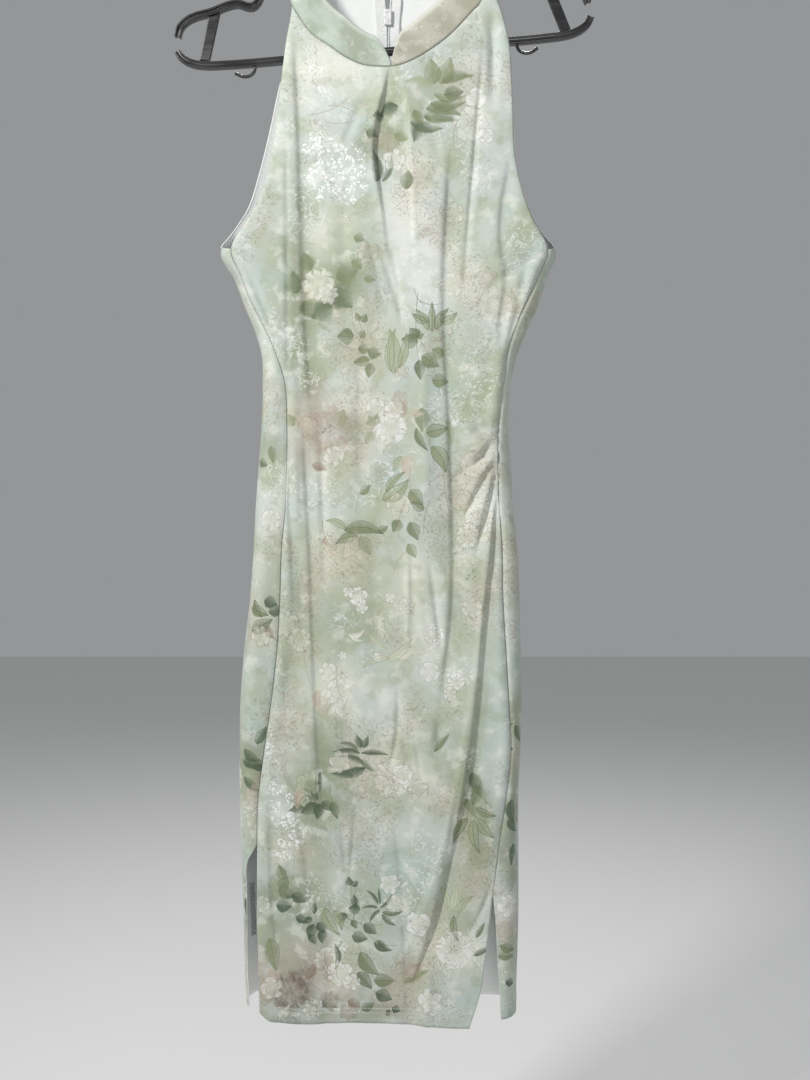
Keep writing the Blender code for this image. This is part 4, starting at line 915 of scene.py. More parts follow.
# White filigree, a spray of small florets: a soft ellipse each.
FRONT_SPRAYS = print_table(
    "x drop across down turn strength",
    (-66, 290, 14, 13, 0, 100), (-48, 302, 19, 15, 10, 100), (-34, 308, 12, 10, 0, 90),
    (-66, 312, 15, 10, -20, 90), (-58, 332, 14, 8, -10, 100), (-40, 328, 12, 7, -20, 90),
    (-72, 202, 12, 12, 0, 45), (-56, 196, 14, 10, 0, 35), (-66, 224, 9, 16, 0, 40),
    (-44, 208, 12, 16, 0, 25), (-62, 246, 16, 7, -20, 30), (-98, 262, 12, 12, 0, 35),
    (-102, 290, 10, 24, 10, 30), (-104, 955, 13, 26, -15, 75), (-98, 978, 12, 16, -15, 65),
    (-116, 888, 9, 24, 0, 45), (70, 826, 9, 10, 0, 55), (44, 776, 9, 12, 0, 50), (96, 480, 18, 16, 0, 30),
    (-8, 972, 20, 9, 0, 30), (64, 1094, 22, 16, 0, 40), (-48, 1096, 12, 18, 20, 45),
    (14, 926, 12, 16, 0, 40), (-60, 840, 10, 18, 0, 40),
)
# Thin drawn twigs.
FRONT_TWIGS = print_table(
    "x drop turn length tone bend",
    (-78, 254, -24, 44, -65, 10), (-60, 246, 20, 36, -60, -12), (-62, 262, -14, 40, -55, 14),
    (-34, 250, -36, 22, -55, 10), (-84, 238, 34, 26, -45, 5), (-12, 262, 200, 30, -50, 10),
    (40, 262, -52, 52, 70, 12), (30, 280, -28, 46, -55, 16), (40, 286, 8, 34, -50, -16),
    (70, 232, 60, 34, -70, 12), (66, 244, 20, 26, -70, -12), (72, 258, 100, 30, -75, 12),
    (60, 290, -30, 24, -60, 16), (52, 344, 30, 22, -55, 20), (-34, 404, -28, 38, -60, 14),
    (-28, 388, 10, 26, -60, -16), (-22, 378, 70, 24, -55, 10), (-96, 372, 24, 30, -65, 10),
    (-98, 384, 60, 30, -60, 14), (-36, 452, 66, 50, -65, 10), (-34, 474, 30, 24, 70, 10),
    (-30, 458, 80, 30, 68, -5), (-20, 500, -30, 18, 68, 10), (30, 432, 88, 84, 85, 4),
    (32, 480, 70, 60, 76, -6), (30, 440, 10, 22, -80, 10), (26, 428, 60, 20, 80, 10),
    (46, 518, 190, 16, -65, 10), (-64, 520, 30, 30, -50, 10), (-66, 528, 60, 24, -50, -10),
    (-46, 540, 80, 24, -55, 10), (36, 572, 175, 14, -70, 10), (42, 574, 80, 34, 76, 6),
    (56, 600, 84, 54, 78, 4), (22, 606, 84, 54, -60, 4), (18, 640, 100, 40, -60, 8),
    (-24, 616, 20, 22, 70, 10), (42, 640, 100, 36, 78, 6), (-66, 660, 70, 30, -75, 10),
    (-50, 640, 12, 30, -40, 10), (-36, 700, 30, 24, -55, 10), (20, 690, 120, 30, -60, 10),
    (-12, 734, 30, 20, -60, 10), (-44, 764, 20, 30, -50, 10), (-22, 768, 60, 34, -45, 12),
    (20, 796, -20, 34, -40, 10), (16, 780, 130, 26, -45, 10), (-90, 756, 70, 34, 60, 10),
    (-84, 786, 80, 40, -60, 5), (-52, 806, 76, 44, -60, 8), (-8, 900, 40, 30, -65, 10),
    (4, 916, 70, 28, -70, 8), (10, 922, 30, 26, -65, 10), (-20, 916, 20, 34, -60, -16),
    (-26, 934, -12, 40, -50, 16), (78, 900, 60, 54, 84, 12), (90, 916, 84, 50, 80, -10),
    (-58, 925, 80, 30, 80, 5), (-72, 916, 88, 34, 90, 4), (-36, 1022, 84, 34, 86, 8),
    (-34, 1052, 80, 40, 80, 6), (-44, 1056, 12, 40, 84, 10), (-60, 1040, 50, 44, 70, 10),
    (-90, 1054, 22, 24, 86, 10), (-28, 1062, 40, 40, 80, 10), (-12, 1080, 14, 22, 84, 10),
    (0, 1036, 88, 26, 70, 5), (-16, 1036, 40, 22, 80, 10), (-46, 1080, 96, 40, 84, 10),
    (-64, 1094, 60, 40, -80, 12), (-22, 1108, 30, 30, 76, -10), (-86, 1108, 50, 30, -85, 10),
    (60, 1044, 100, 30, 50, 10), (72, 1030, 80, 40, 40, 10), (-14, 1130, 50, 26, 84, 10),
)

# The side strips and the backs, flat distances running on outward round the tube's ends.
SIDE_WASH = print_table(
    "x drop across down turn tone strength",
    (-112, 460, 16, 30, 0, 10, 50), (-124, 500, 12, 30, 0, 45, 40), (-116, 600, 14, 22, 0, 72, 55),
    (-112, 622, 14, 18, 0, 46, 50), (-116, 655, 12, 30, 0, 6, 60), (-112, 690, 12, 22, 0, 56, 45),
    (-120, 745, 16, 30, 0, 68, 50), (-120, 776, 16, 20, 0, 20, 50), (-128, 826, 16, 22, 0, 52, 45),
    (-132, 900, 16, 26, 0, 82, 65), (-130, 940, 14, 26, 0, -50, 55), (-132, 975, 14, 24, 0, 60, 40),
    (-140, 1040, 10, 26, 0, 90, 60), (-138, 1090, 10, 30, 0, 60, 50), (-170, 430, 30, 50, 0, 10, 40),
    (140, 470, 14, 40, 0, 55, 40), (120, 560, 12, 30, 0, 30, 40), (116, 606, 8, 16, 0, -80, 50),
    (120, 650, 12, 40, 0, 20, 40), (126, 710, 12, 40, 0, 30, 40), (118, 770, 14, 30, 0, 10, 40),
    (106, 820, 16, 20, 0, 10, 60), (108, 850, 20, 22, 0, 78, 55), (124, 880, 14, 30, 0, 72, 50),
    (112, 905, 16, 22, 0, 50, 50), (124, 960, 12, 36, 0, 80, 60), (120, 1005, 10, 24, 0, 86, 45),
    (118, 1048, 14, 14, 0, 2, 70), (116, 1070, 14, 14, 0, -60, 50), (118, 1092, 14, 14, 0, 62, 55),
    (118, 1125, 14, 20, 0, 40, 40),
)
SIDE_LEAVES = print_table(
    "x drop turn length ratio tone softness lines bend",
    (-124, 740, 20, 14, 44, 92, 20, 50, 0), (-136, 740, 60, 20, 20, 80, 20, 80, 10),
    (-140, 748, 20, 22, 24, 70, 20, 80, 0), (-120, 752, -10, 16, 36, 86, 20, 60, 0),
    (-138, 772, -30, 26, 26, 78, 20, 70, 0), (-122, 764, 60, 18, 20, -90, 20, 90, 10),
    (-136, 600, 20, 16, 30, 80, 30, 40, 0), (-118, 586, 80, 18, 24, 70, 30, 40, 0),
    (-146, 890, 30, 22, 22, 90, 20, 60, 10), (-148, 902, 10, 24, 20, 92, 20, 60, 0),
    (-136, 908, -20, 24, 20, 90, 20, 60, 10), (-146, 918, 40, 22, 20, 86, 20, 60, 0),
    (-132, 884, -60, 20, 24, 84, 20, 60, 0), (-144, 1040, 80, 22, 24, 94, 20, 50, 0),
    (-142, 1060, 60, 16, 30, 90, 20, 50, 0), (98, 836, 10, 20, 26, 80, 20, 70, 0),
    (102, 850, -24, 22, 20, 90, 20, 70, 10), (118, 846, 200, 18, 24, 86, 20, 70, 0),
    (104, 862, 6, 22, 18, 90, 20, 70, 10), (110, 892, -10, 16, 34, 92, 20, 60, 0),
    (100, 884, 60, 16, 30, 76, 20, 70, 0), (128, 866, 60, 22, 24, 80, 25, 60, 0),
    (124, 940, 80, 26, 22, 88, 20, 60, 10), (120, 960, 50, 18, 26, 84, 20, 60, 0),
    (128, 985, 100, 22, 22, 86, 20, 60, 0), (112, 1086, 20, 18, 24, 70, 20, 70, 0),
    (110, 1096, 6, 18, 20, 66, 20, 70, 0), (118, 1122, 20, 12, 34, 90, 20, 50, 0),
    (130, 360, 60, 20, 30, 70, 35, 40, 0), (138, 352, 30, 18, 24, 76, 35, 40, 0),
)
SIDE_FLOWERS = print_table(
    "x drop turn radius petals tone fill lines heart",
    (-118, 660, 0, 12, 6, 6, 60, 70, -60), (-128, 776, 20, 12, 6, 12, 60, 90, -80),
    (-132, 936, 0, 14, 6, -40, 55, 90, -85), (-134, 960, 30, 11, 5, 10, 50, 80, -60),
    (-124, 624, 0, 11, 6, 55, 45, 60, 80), (136, 412, 0, 15, 9, 45, 35, 100, 70),
    (120, 470, 0, 12, 8, 60, 40, 80, 80), (106, 822, 10, 15, 6, 8, 75, 70, 60),
    (106, 876, 0, 14, 8, 12, 50, 100, 60), (118, 908, 20, 16, 10, 40, 30, 100, 70),
    (120, 1046, 10, 13, 6, 2, 90, 60, -95), (116, 1072, 0, 11, 6, -40, 55, 80, -85),
    (124, 770, 0, 10, 7, 6, 45, 90, -50), (122, 690, 0, 12, 8, 14, 45, 90, 50),
)

TONES = table(
    "tone red green blue",
    (-1.0, 100, 86, 74), (-0.8, 140, 124, 108), (-0.6, 176, 160, 142), (-0.4, 204, 192, 174),
    (-0.15, 232, 226, 214), (0.0, 246, 247, 244), (0.2, 226, 225, 206), (0.4, 196, 202, 178),
    (0.6, 164, 172, 140), (0.75, 138, 145, 108), (0.9, 96, 112, 86), (1.0, 72, 90, 68),
)
MINT = (186, 201, 193)
PALE_MINT = (206, 214, 209)
SPRAY_WHITE = (250, 252, 250)
WHITE = 0.0
PEN_BROWN = -0.75
INSIDE_WHITE = (0.90, 0.905, 0.90, 1.0)
INSIDE_SHADE = (0.6, 0.62, 0.6, 1.0)
KNIT_SHADE = (0.16, 0.18, 0.15, 1.0)
LEAF_LAYERS = 5
FLOWER_LAYERS = 3
TWIG_LAYERS = 2
LAYER_GAP = 2.5
TWIG_REACH = 2.6


def linear(colour):
    """A colour from 0 to 255 as linear light from 0 to 1."""
    share = np.asarray(colour, dtype=float) / 255
    return np.where(share <= 0.04045, share / 12.92, ((share + 0.055) / 1.055) ** 2.4)


def tone_colour(tone):
    channels = [np.interp(tone, TONES["tone"], TONES[name]) for name in ("red", "green", "blue")]
    return linear(np.stack(channels, axis=-1))


def tinted(tone):
    """A tone as a shader colour."""
    return (*tone_colour(tone), 1.0)


def opaque(colour):
    """A colour from 0 to 255 as a shader colour."""
    return (*linear(colour), 1.0)


def wandering(x, drop, phase):
    """Uneven shifts of a place, so that painted patches have no clean outline."""
    dx = 5 * np.sin(drop * 0.052 + phase) + 3 * np.sin(drop * 0.131 + x * 0.07 + 2 * phase)
    dx = dx + 1.6 * np.sin(drop * 0.31 - x * 0.23 + phase)
    dd = 6 * np.sin(x * 0.061 + 2 * phase) + 3 * np.sin(x * 0.149 - drop * 0.06 + phase)
    dd = dd + 1.6 * np.sin(x * 0.33 + drop * 0.21 + 3 * phase)
    return dx, dd


def ellipse_share(x, drop, row, phase):
    """How far inside a soft turned ellipse each place lies: 1 in the middle, fading to 0."""
    dx, dd = wandering(x, drop, phase)
    turn = math.radians(row["turn"])
    a = x + 0.8 * dx - row["x"]
    b = drop + 0.8 * dd - row["drop"]
    u = (a * math.cos(turn) + b * math.sin(turn)) / row["across"]
    v = (b * math.cos(turn) - a * math.sin(turn)) / row["down"]
    return np.exp(-(0.62 * (u * u + v * v)) ** 1.3)


def rows_of(columns):
    """A table's rows, one dictionary each."""
    names = list(columns)
    for values in zip(*(columns[name] for name in names)):
        yield dict(zip(names, values))


def wash_colours(x, drop, washes):
    """The watercolour ground of the print at each place, as linear colours."""
    dx, dd = wandering(x, drop, 0.4)
    drift = 0.5 + 0.3 * np.sin(x * 0.031 + drop * 0.017) + 0.2 * np.sin(x * 0.05 - drop * 0.033 + 0.1 * dx)
    ground = linear(MINT) + (linear(PALE_MINT) - linear(MINT)) * np.clip(drift, 0, 1)[..., None]
    warm = np.clip(np.sin(x * 0.043 + 1.1) * np.sin(drop * 0.029 + 0.08 * dd), 0, 1)[..., None]
    ground = ground + (tone_colour(0.25) - ground) * 0.35 * warm
    for number, row in enumerate(rows_of(washes)):
        share = row["strength"] * ellipse_share(x, drop, row, number * 0.7)[..., None]
        ground = ground + (tone_colour(row["tone"]) - ground) * share
    return ground


def leaf_frame(row, x, drop):
    """Places in a leaf's own frame: along from base to tip, and across in units of its length."""
    turn = math.radians(row["turn"])
    a = ((x - row["x"]) * math.cos(turn) + (drop - row["drop"]) * math.sin(turn)) / row["length"]
    b = ((drop - row["drop"]) * math.cos(turn) - (x - row["x"]) * math.sin(turn)) / row["length"]
    return a, b - row["bend"] * 4 * a * (1 - a)


def leaf_spread(row, margin):
    """Points along a leaf with the room that it needs around each."""
    shares = np.linspace(0, 1, 7)
    turn = math.radians(row["turn"])
    across = row["bend"] * 4 * shares * (1 - shares)
    width = row.get("ratio", 0.0) * np.sin(math.pi * np.clip(shares, 0.08, 0.92)) * row["length"]
    along_leaf = shares * row["length"]
    across = across * row["length"]
    return np.stack([
        row["x"] + along_leaf * math.cos(turn) - across * math.sin(turn),
        row["drop"] + along_leaf * math.sin(turn) + across * math.cos(turn),
        width * 1.1 + margin,
    ])


def flower_spread(row, margin):
    return np.array([[row["x"]], [row["drop"]], [row["radius"] * 1.05 + margin]])


def collides(one, other):
    gap = np.hypot(one[0][:, None] - other[0][None], one[1][:, None] - other[1][None])
    return bool((gap < one[2][:, None] + other[2][None]).any())


def in_layers(rows, spread, count):
    """Share motifs out over layers, so that those of one layer stay clear of each other."""
    layers = [[] for _ in range(count)]
    for row in rows:
        own = spread(row, LAYER_GAP / 2)
        free = [layer for layer in layers if not any(collides(own, other) for _, other in layer)]
        chosen = free[0] if free else min(layers, key=lambda layer: sum(collides(own, o) for _, o in layer))
        chosen.append((row, own))
    return [[row for row, _ in layer] for layer in layers]


BACK_MIDDLE = 236.0
BACK_STRIP_END = 165.0
FLAT_BLEND_END = 520.0
LEFT_TURN_DROP = 1345
RIGHT_TOP_DROP = 150
RIGHT_SHIFT = 290
RIGHT_SPAN = 1010
FRONT_PRINT = {"wash": FRONT_WASH, "leaves": FRONT_LEAVES, "flowers": FRONT_FLOWERS,
               "sprays": FRONT_SPRAYS, "twigs": FRONT_TWIGS}
SIDE_PRINT = {"wash": SIDE_WASH, "leaves": SIDE_LEAVES, "flowers": SIDE_FLOWERS}


def back_print(which):
    """A back panel's print: its strip beside the seam, then the front's motifs turned or moved."""
    sign = SIGNS[which]
    made = {}
    for kind, columns in FRONT_PRINT.items():
        copy = dict(columns)
        copy["x"] = sign * BACK_MIDDLE - columns["x"]
        if which == "left":
            copy["drop"] = LEFT_TURN_DROP - columns["drop"]
            copy["turn"] = columns["turn"] + 180
        else:
            copy["drop"] = RIGHT_TOP_DROP + (columns["drop"] + RIGHT_SHIFT) % RIGHT_SPAN
            copy["turn"] = 180 - columns["turn"]
        keep = sign * copy["x"] > BACK_STRIP_END
        made[kind] = {name: values[keep] for name, values in copy.items()}
        if kind in SIDE_PRINT:
            strip = SIDE_PRINT[kind]
            beside = sign * strip["x"] > 0
            made[kind] = {name: np.concatenate([strip[name][beside], values])
                          for name, values in made[kind].items()}
    return made


def corner_layer(mesh, name, values):
    layer = mesh.attributes.new(name, "FLOAT_VECTOR", "CORNER")
    layer.data.foreach_set("vector", np.ascontiguousarray(values, dtype=np.float32).ravel())


def paint_motifs(mesh, corner_places, name, layers, frame, extent, facts):
    """Give each face of the mesh at most one motif a layer, by its own frame at the face's corners."""
    x, drop = corner_places
    middle_x = x.mean(axis=1)
    middle_drop = drop.mean(axis=1)
    for number, rows in enumerate(layers):
        best = np.full(len(middle_x), 1e9)
        local = np.zeros((len(middle_x), 4, 3))
        fact_rows = [np.zeros((len(middle_x), 4, 3)) for _ in facts]
        for row in rows:
            reach = row.get("length", row.get("radius", 0.0)) * 1.15 + 4
            near = (np.abs(middle_x - row["x"]) < reach) & (np.abs(middle_drop - row["drop"]) < reach)
            faces = np.nonzero(near)[0]
            if not len(faces):
                continue
            distance = extent(row, *frame(row, middle_x[faces], middle_drop[faces]))
            closer = (distance < best[faces]) & (distance < 4.0)
            faces = faces[closer]
            best[faces] = distance[closer]
            a, b = frame(row, x[faces], drop[faces])
            local[faces] = np.stack([a, b, np.ones_like(a)], axis=-1)
            for store, fact in zip(fact_rows, facts):
                store[faces, :, :len(fact)] = [row[key] for key in fact]
        corner_layer(mesh, "%s_%d" % (name, number), local)
        for index, store in enumerate(fact_rows):
            corner_layer(mesh, "%s_%d_fact_%d" % (name, number, index), store)


def leaf_extent(row, a, b):
    """Millimetres from a place to the leaf's shape, 0 or less inside."""
    length = row["length"]
    half = row["ratio"] * np.sin(math.pi * np.clip(a, 0.05, 0.95)) * length
    beyond = np.maximum(np.maximum(-a, a - 1), 0) * length
    return np.hypot(np.maximum(np.abs(b) * length - half, 0), beyond) + 0.01 * np.abs(b) * length


def twig_extent(row, a, b):
    beyond = np.maximum(np.maximum(-a, a - 1), 0) * row["length"]
    return np.hypot(np.abs(b) * row["length"], beyond) + (4.0 - TWIG_REACH)


def flower_frame(row, x, drop):
    turn = math.radians(row["turn"])
    a = x - row["x"]
    b = drop - row["drop"]
    return ((a * math.cos(turn) + b * math.sin(turn)) / row["radius"],
            (b * math.cos(turn) - a * math.sin(turn)) / row["radius"])


def flower_extent(row, a, b):
    return np.maximum(np.hypot(a, b) - 1.05, 0) * row["radius"] + 0.01 * np.hypot(a, b)


def painter(prints, flat):
    """A function that stores the print on a fresh cloth grid, given how it flattens to its pattern."""
    def paint(mesh, order, points):
        x, drop = flat(points)
        plane = np.empty((len(mesh.vertices), 2))
        plane[order.ravel()] = np.stack([x.ravel(), drop.ravel()], axis=1)
        wash = np.ones((len(mesh.vertices), 4))
        wash[:, :3] = wash_colours(plane[:, 0], plane[:, 1], prints["wash"])
        ground = mesh.color_attributes.new("wash", "FLOAT_COLOR", "POINT")
        ground.data.foreach_set("color", wash.astype(np.float32).ravel())
        spray = np.zeros(len(plane))
        for number, row in enumerate(rows_of(prints["sprays"])):
            share = ellipse_share(plane[:, 0], plane[:, 1], row, number * 1.3)
            spray = np.maximum(spray, row["strength"] * share)
        level = mesh.attributes.new("spray", "FLOAT", "POINT")
        level.data.foreach_set("value", spray.astype(np.float32))
        corners = np.empty(len(mesh.loops), dtype=int)
        mesh.loops.foreach_get("vertex_index", corners)
        uv = mesh.uv_layers[0]
        uv.name = "panel"
        uv.data.foreach_set("uv", (plane[corners] * (MM, -MM)).astype(np.float32).ravel())
        corner_x = plane[corners, 0].reshape(-1, 4)
        corner_drop = plane[corners, 1].reshape(-1, 4)
        places = (corner_x, corner_drop)
        paint_motifs(mesh, places, "leaf", in_layers(rows_of(prints["leaves"]), leaf_spread, LEAF_LAYERS),
                     leaf_frame, leaf_extent, (("tone", "ratio", "length"), ("softness", "lines")))
        paint_motifs(mesh, places, "flower",
                     in_layers(rows_of(prints["flowers"]), flower_spread, FLOWER_LAYERS),
                     flower_frame, flower_extent, (("tone", "petals", "radius"), ("fill", "lines", "heart")))
        paint_motifs(mesh, places, "twig", in_layers(rows_of(prints["twigs"]), leaf_spread, TWIG_LAYERS),
                     leaf_frame, twig_extent, (("tone", "length"),))
    return paint


def flat_back(sign):
    """Flatten a back panel: from its seam edge below the underarm, from centre back above it."""
    def flat(points):
        steps = np.sqrt((np.diff(points, axis=2) ** 2).sum(axis=0))[:, ::sign]
        start = points[0][:, :1] if sign > 0 else points[0][:, -1:]
        run = np.concatenate([np.zeros((len(steps), 1)), np.cumsum(steps, axis=1)], axis=1)
        total = run[:, -1:]
        middle = np.median((np.abs(start) + total)[ROWS_ABOVE_UNDERARM:])
        pull = (run / total) ** 2
        pull = pull + (1 - pull) * (1 - smoothstep(UNDERARM_DROP, FLAT_BLEND_END, points[1][:, ::sign]))
        out = np.abs(start) + run + pull * (middle - np.abs(start) - total)
        return sign * out[:, ::sign], points[1]

    return flat


class Term:
    """A shader value: formulas on it add Math nodes, and node() adds any other kind."""

    def __init__(self, tree, socket=None):
        self.tree = tree
        self.socket = socket

    def node(self, kind, output, inputs, **settings):
        made = self.tree.nodes.new(kind)
        for name, value in settings.items():
            setattr(made, name, value)
        for name, value in inputs.items():
            if isinstance(value, Term):
                self.tree.links.new(value.socket, made.inputs[name])
            else:
                made.inputs[name].default_value = value
        return Term(self.tree, made.outputs[output])

    def math(self, operation, *values):
        return self.node("ShaderNodeMath", 0, dict(enumerate((self, *values))), operation=operation)

    def __add__(self, other):
        return self.math("ADD", other)

    __radd__ = __add__

    def __mul__(self, other):
        return self.math("MULTIPLY", other)

    __rmul__ = __mul__

    def __sub__(self, other):
        return self.math("SUBTRACT", other)

    def __rsub__(self, other):
        return self * -1.0 + other

    def __truediv__(self, other):
        return self.math("DIVIDE", other)

    def __rtruediv__(self, other):
        return self.math("POWER", -1.0) * other

    def __pow__(self, other):
        return self.math("POWER", other)

    def __abs__(self):
        return self.math("ABSOLUTE")

    def clear_of(self, low, high):
        """0 below low, 1 above high, smooth between."""
        return self.node("ShaderNodeMapRange", 0, {0: self, 1: low, 2: high, 3: 0.0, 4: 1.0},
                         interpolation_type="SMOOTHSTEP")

    def toward(self, share, other):
        """This colour moved towards another by a share."""
        return self.node("ShaderNodeMix", 2, {0: share, 6: self, 7: other}, data_type="RGBA")

    def layered(self, *steps):
        """This colour with others laid over it, each by its own share."""
        colour = self
        for share, other in steps:
            colour = colour.toward(share, other)
        return colour

    def parts(self):
        return [self.node("ShaderNodeSeparateXYZ", axis, {0: self}) for axis in range(3)]

    def attribute(self, name, output="Vector"):
        return self.node("ShaderNodeAttribute", output, {}, attribute_name=name)

    def noise(self, place, scale, detail=2.0, output=0):
        return self.node("ShaderNodeTexNoise", output, {"Vector": place, "Scale": scale, "Detail": detail})

    def scaled(self, *factors):
        return self.node("ShaderNodeVectorMath", 0, {0: self, 1: factors}, operation="MULTIPLY")

    def ramp(self, stops):
        """A colour read off a ramp of (place, colour) stops."""
        read = self.node("ShaderNodeValToRGB", 0, {0: self})
        scale = read.socket.node.color_ramp
        while len(scale.elements) < len(stops):
            scale.elements.new(0.5)
        for element, (place, colour) in zip(scale.elements, stops):
            element.position = place
            element.color = (*colour, 1.0)
        return read


TONE_STOPS = [((tone + 1) / 2, tuple(tone_colour(tone))) for tone in TONES["tone"]]


def toned(tone):
    return (tone * 0.5 + 0.5).ramp(TONE_STOPS)


def leaf_layer(start, name, bleed):
    """One layer's leaves: how much of each place they cover, how much is drawn line, and their colour."""
    a, b, on = start.attribute(name).parts()
    tone, ratio, length = start.attribute(name + "_fact_0").parts()
    softness, lines, _ = start.attribute(name + "_fact_1").parts()
    place = a.math("MAXIMUM", 0.0).math("MINIMUM", 1.0)
    half = ((place ** 0.8) * 3.1416).math("SINE") * ratio
    half = half * (1.12 - place * 0.25) + 0.0008
    edge = abs(b) / half + (bleed - 0.5) * (softness * 1.3 + 0.15)
    within = 1.0 - edge.clear_of(1.0 - softness, 1.0 + softness * 0.6)
    inside = within * a.clear_of(-0.005, 0.02) * (1.0 - a.clear_of(0.985, 1.005)) * on
    rim = 1.0 - (abs(abs(b) - half) * length).clear_of(0.15, 0.75)
    rib = 1.0 - (abs(b) * length).clear_of(0.12, 0.6)
    vein = ((a - abs(b) * 1.1) * length * 1.9).math("SINE")
    vein = vein.clear_of(0.80, 0.98) * (1.0 - edge.clear_of(0.8, 0.95)) * 0.6
    drawn = rim.math("MAXIMUM", rib).math("MAXIMUM", vein) * lines * inside.math("MAXIMUM", rim * on)
    drawn = drawn * a.clear_of(-0.01, 0.02) * (1.0 - a.clear_of(0.98, 1.01))
    depth = 0.55 + 0.45 * (b / half).clear_of(-1.0, 0.6) - a * 0.12 + (bleed - 0.5) * 0.5
    return inside * depth.math("MINIMUM", 1.0), drawn, toned(tone + 0.07), toned(tone + 0.34)


def flower_layer(start, name, bleed, warp):
    """One layer's flowers: petals, drawn lines, stippled heart and their colours."""
    a, b, on = start.attribute(name).parts()
    tone, petals, radius = start.attribute(name + "_fact_0").parts()
    fill, lines, heart = start.attribute(name + "_fact_1").parts()
    reach = (a * a + b * b).math("SQRT") + (bleed - 0.5) * 0.34
    angle = b.math("ARCTAN2", a) + (warp - 0.5) * 2.2
    outer = abs((angle * petals * 0.5).math("SINE"))
    inner = abs((angle * petals * 0.5 + 1.2).math("SINE"))
    outer_edge = 0.50 + 0.42 * outer ** 0.6
    inner_edge = 0.28 + 0.26 * inner ** 0.6
    petal = 1.0 - (reach - outer_edge).clear_of(-0.14, 0.06)
    line_width = 0.50 / radius
    ring = 1.0 - (abs(reach - outer_edge) / line_width).clear_of(0.3, 1.2)
    inner_ring = 1.0 - (abs(reach - inner_edge) / line_width).clear_of(0.3, 1.2)
    parting = (1.0 - (outer * reach * radius * 0.6).clear_of(0.1, 0.5)) * reach.clear_of(0.25, 0.4)
    streaks = (angle * petals * 4.0 + reach * 3.0).math("SINE").clear_of(0.7, 1.0)
    streaks = streaks * reach.clear_of(0.15, 0.3) * (1.0 - (reach - outer_edge).clear_of(-0.3, -0.08)) * 0.6
    drawn = ring.math("MAXIMUM", inner_ring * 0.8).math("MAXIMUM", parting * petal)
    drawn = drawn.math("MAXIMUM", streaks) * lines * on
    throat = (1.0 - reach.clear_of(0.15, 0.75)) * 0.45 + (1.0 - outer.clear_of(0.1, 0.7)) * 0.25
    stipple = start.node("ShaderNodeTexVoronoi", 0, {"Vector": start.attribute(name), "Scale": 11.0})
    core = (1.0 - reach.clear_of(0.10, 0.36)) * (1.0 - stipple.clear_of(0.2, 0.5) * 0.8) * on
    tint = toned(tone).toward(throat, toned(tone * 0.5 + 0.32))
    return petal * fill * on * (0.60 + bleed.clear_of(0.35, 0.65) * 0.34), drawn, core, tint, toned(heart)


def twig_layer(start, name):
    a, b, on = start.attribute(name).parts()
    tone, length, _ = start.attribute(name + "_fact_0").parts()
    width = 0.62 - a * 0.30
    line = 1.0 - (abs(b) * length).clear_of(width * 0.35, width)
    return line * on * a.clear_of(0.0, 0.02) * (1.0 - a.clear_of(0.97, 1.0)), toned(tone)


def cloth_bump(start, plane, strength):
    """Fine courses of knitted loops: streaks that run across, with a little grain."""
    courses = start.noise(plane.scaled(160.0, 900.0, 1.0), 1.0, 2.0)
    grain = start.noise(plane.scaled(900.0, 900.0, 1.0), 1.0, 1.0)
    height = courses * 0.7 + grain * 0.3
    bump = start.node("ShaderNodeBump", 0, {"Strength": strength, "Distance": 0.0004, "Height": height})
    return bump, courses, grain


def finish_look(look, colour, bump, roughness, sheen):
    shader = look.node_tree.nodes["Principled BSDF"]
    links = look.node_tree.links
    links.new(colour.socket, shader.inputs["Base Color"])
    if bump is not None:
        links.new(bump.socket, shader.inputs["Normal"])
    shader.inputs["Roughness"].default_value = roughness
    shader.inputs["Sheen Weight"].default_value = sheen
    shader.inputs["Sheen Roughness"].default_value = 0.5
    shader.inputs["Specular IOR Level"].default_value = 0.25
    return look


def new_look(name):
    look = bpy.data.materials.new(name)
    look.use_nodes = True
    return look, Term(look.node_tree)


def drawn_tangle(start, plane, scale, lines):
    """Fine pen lines that wander like petal and stem outlines."""
    height = start.noise(plane, scale, 2.0)
    return 1.0 - abs((height * lines).math("SINE")).clear_of(0.08, 0.42)


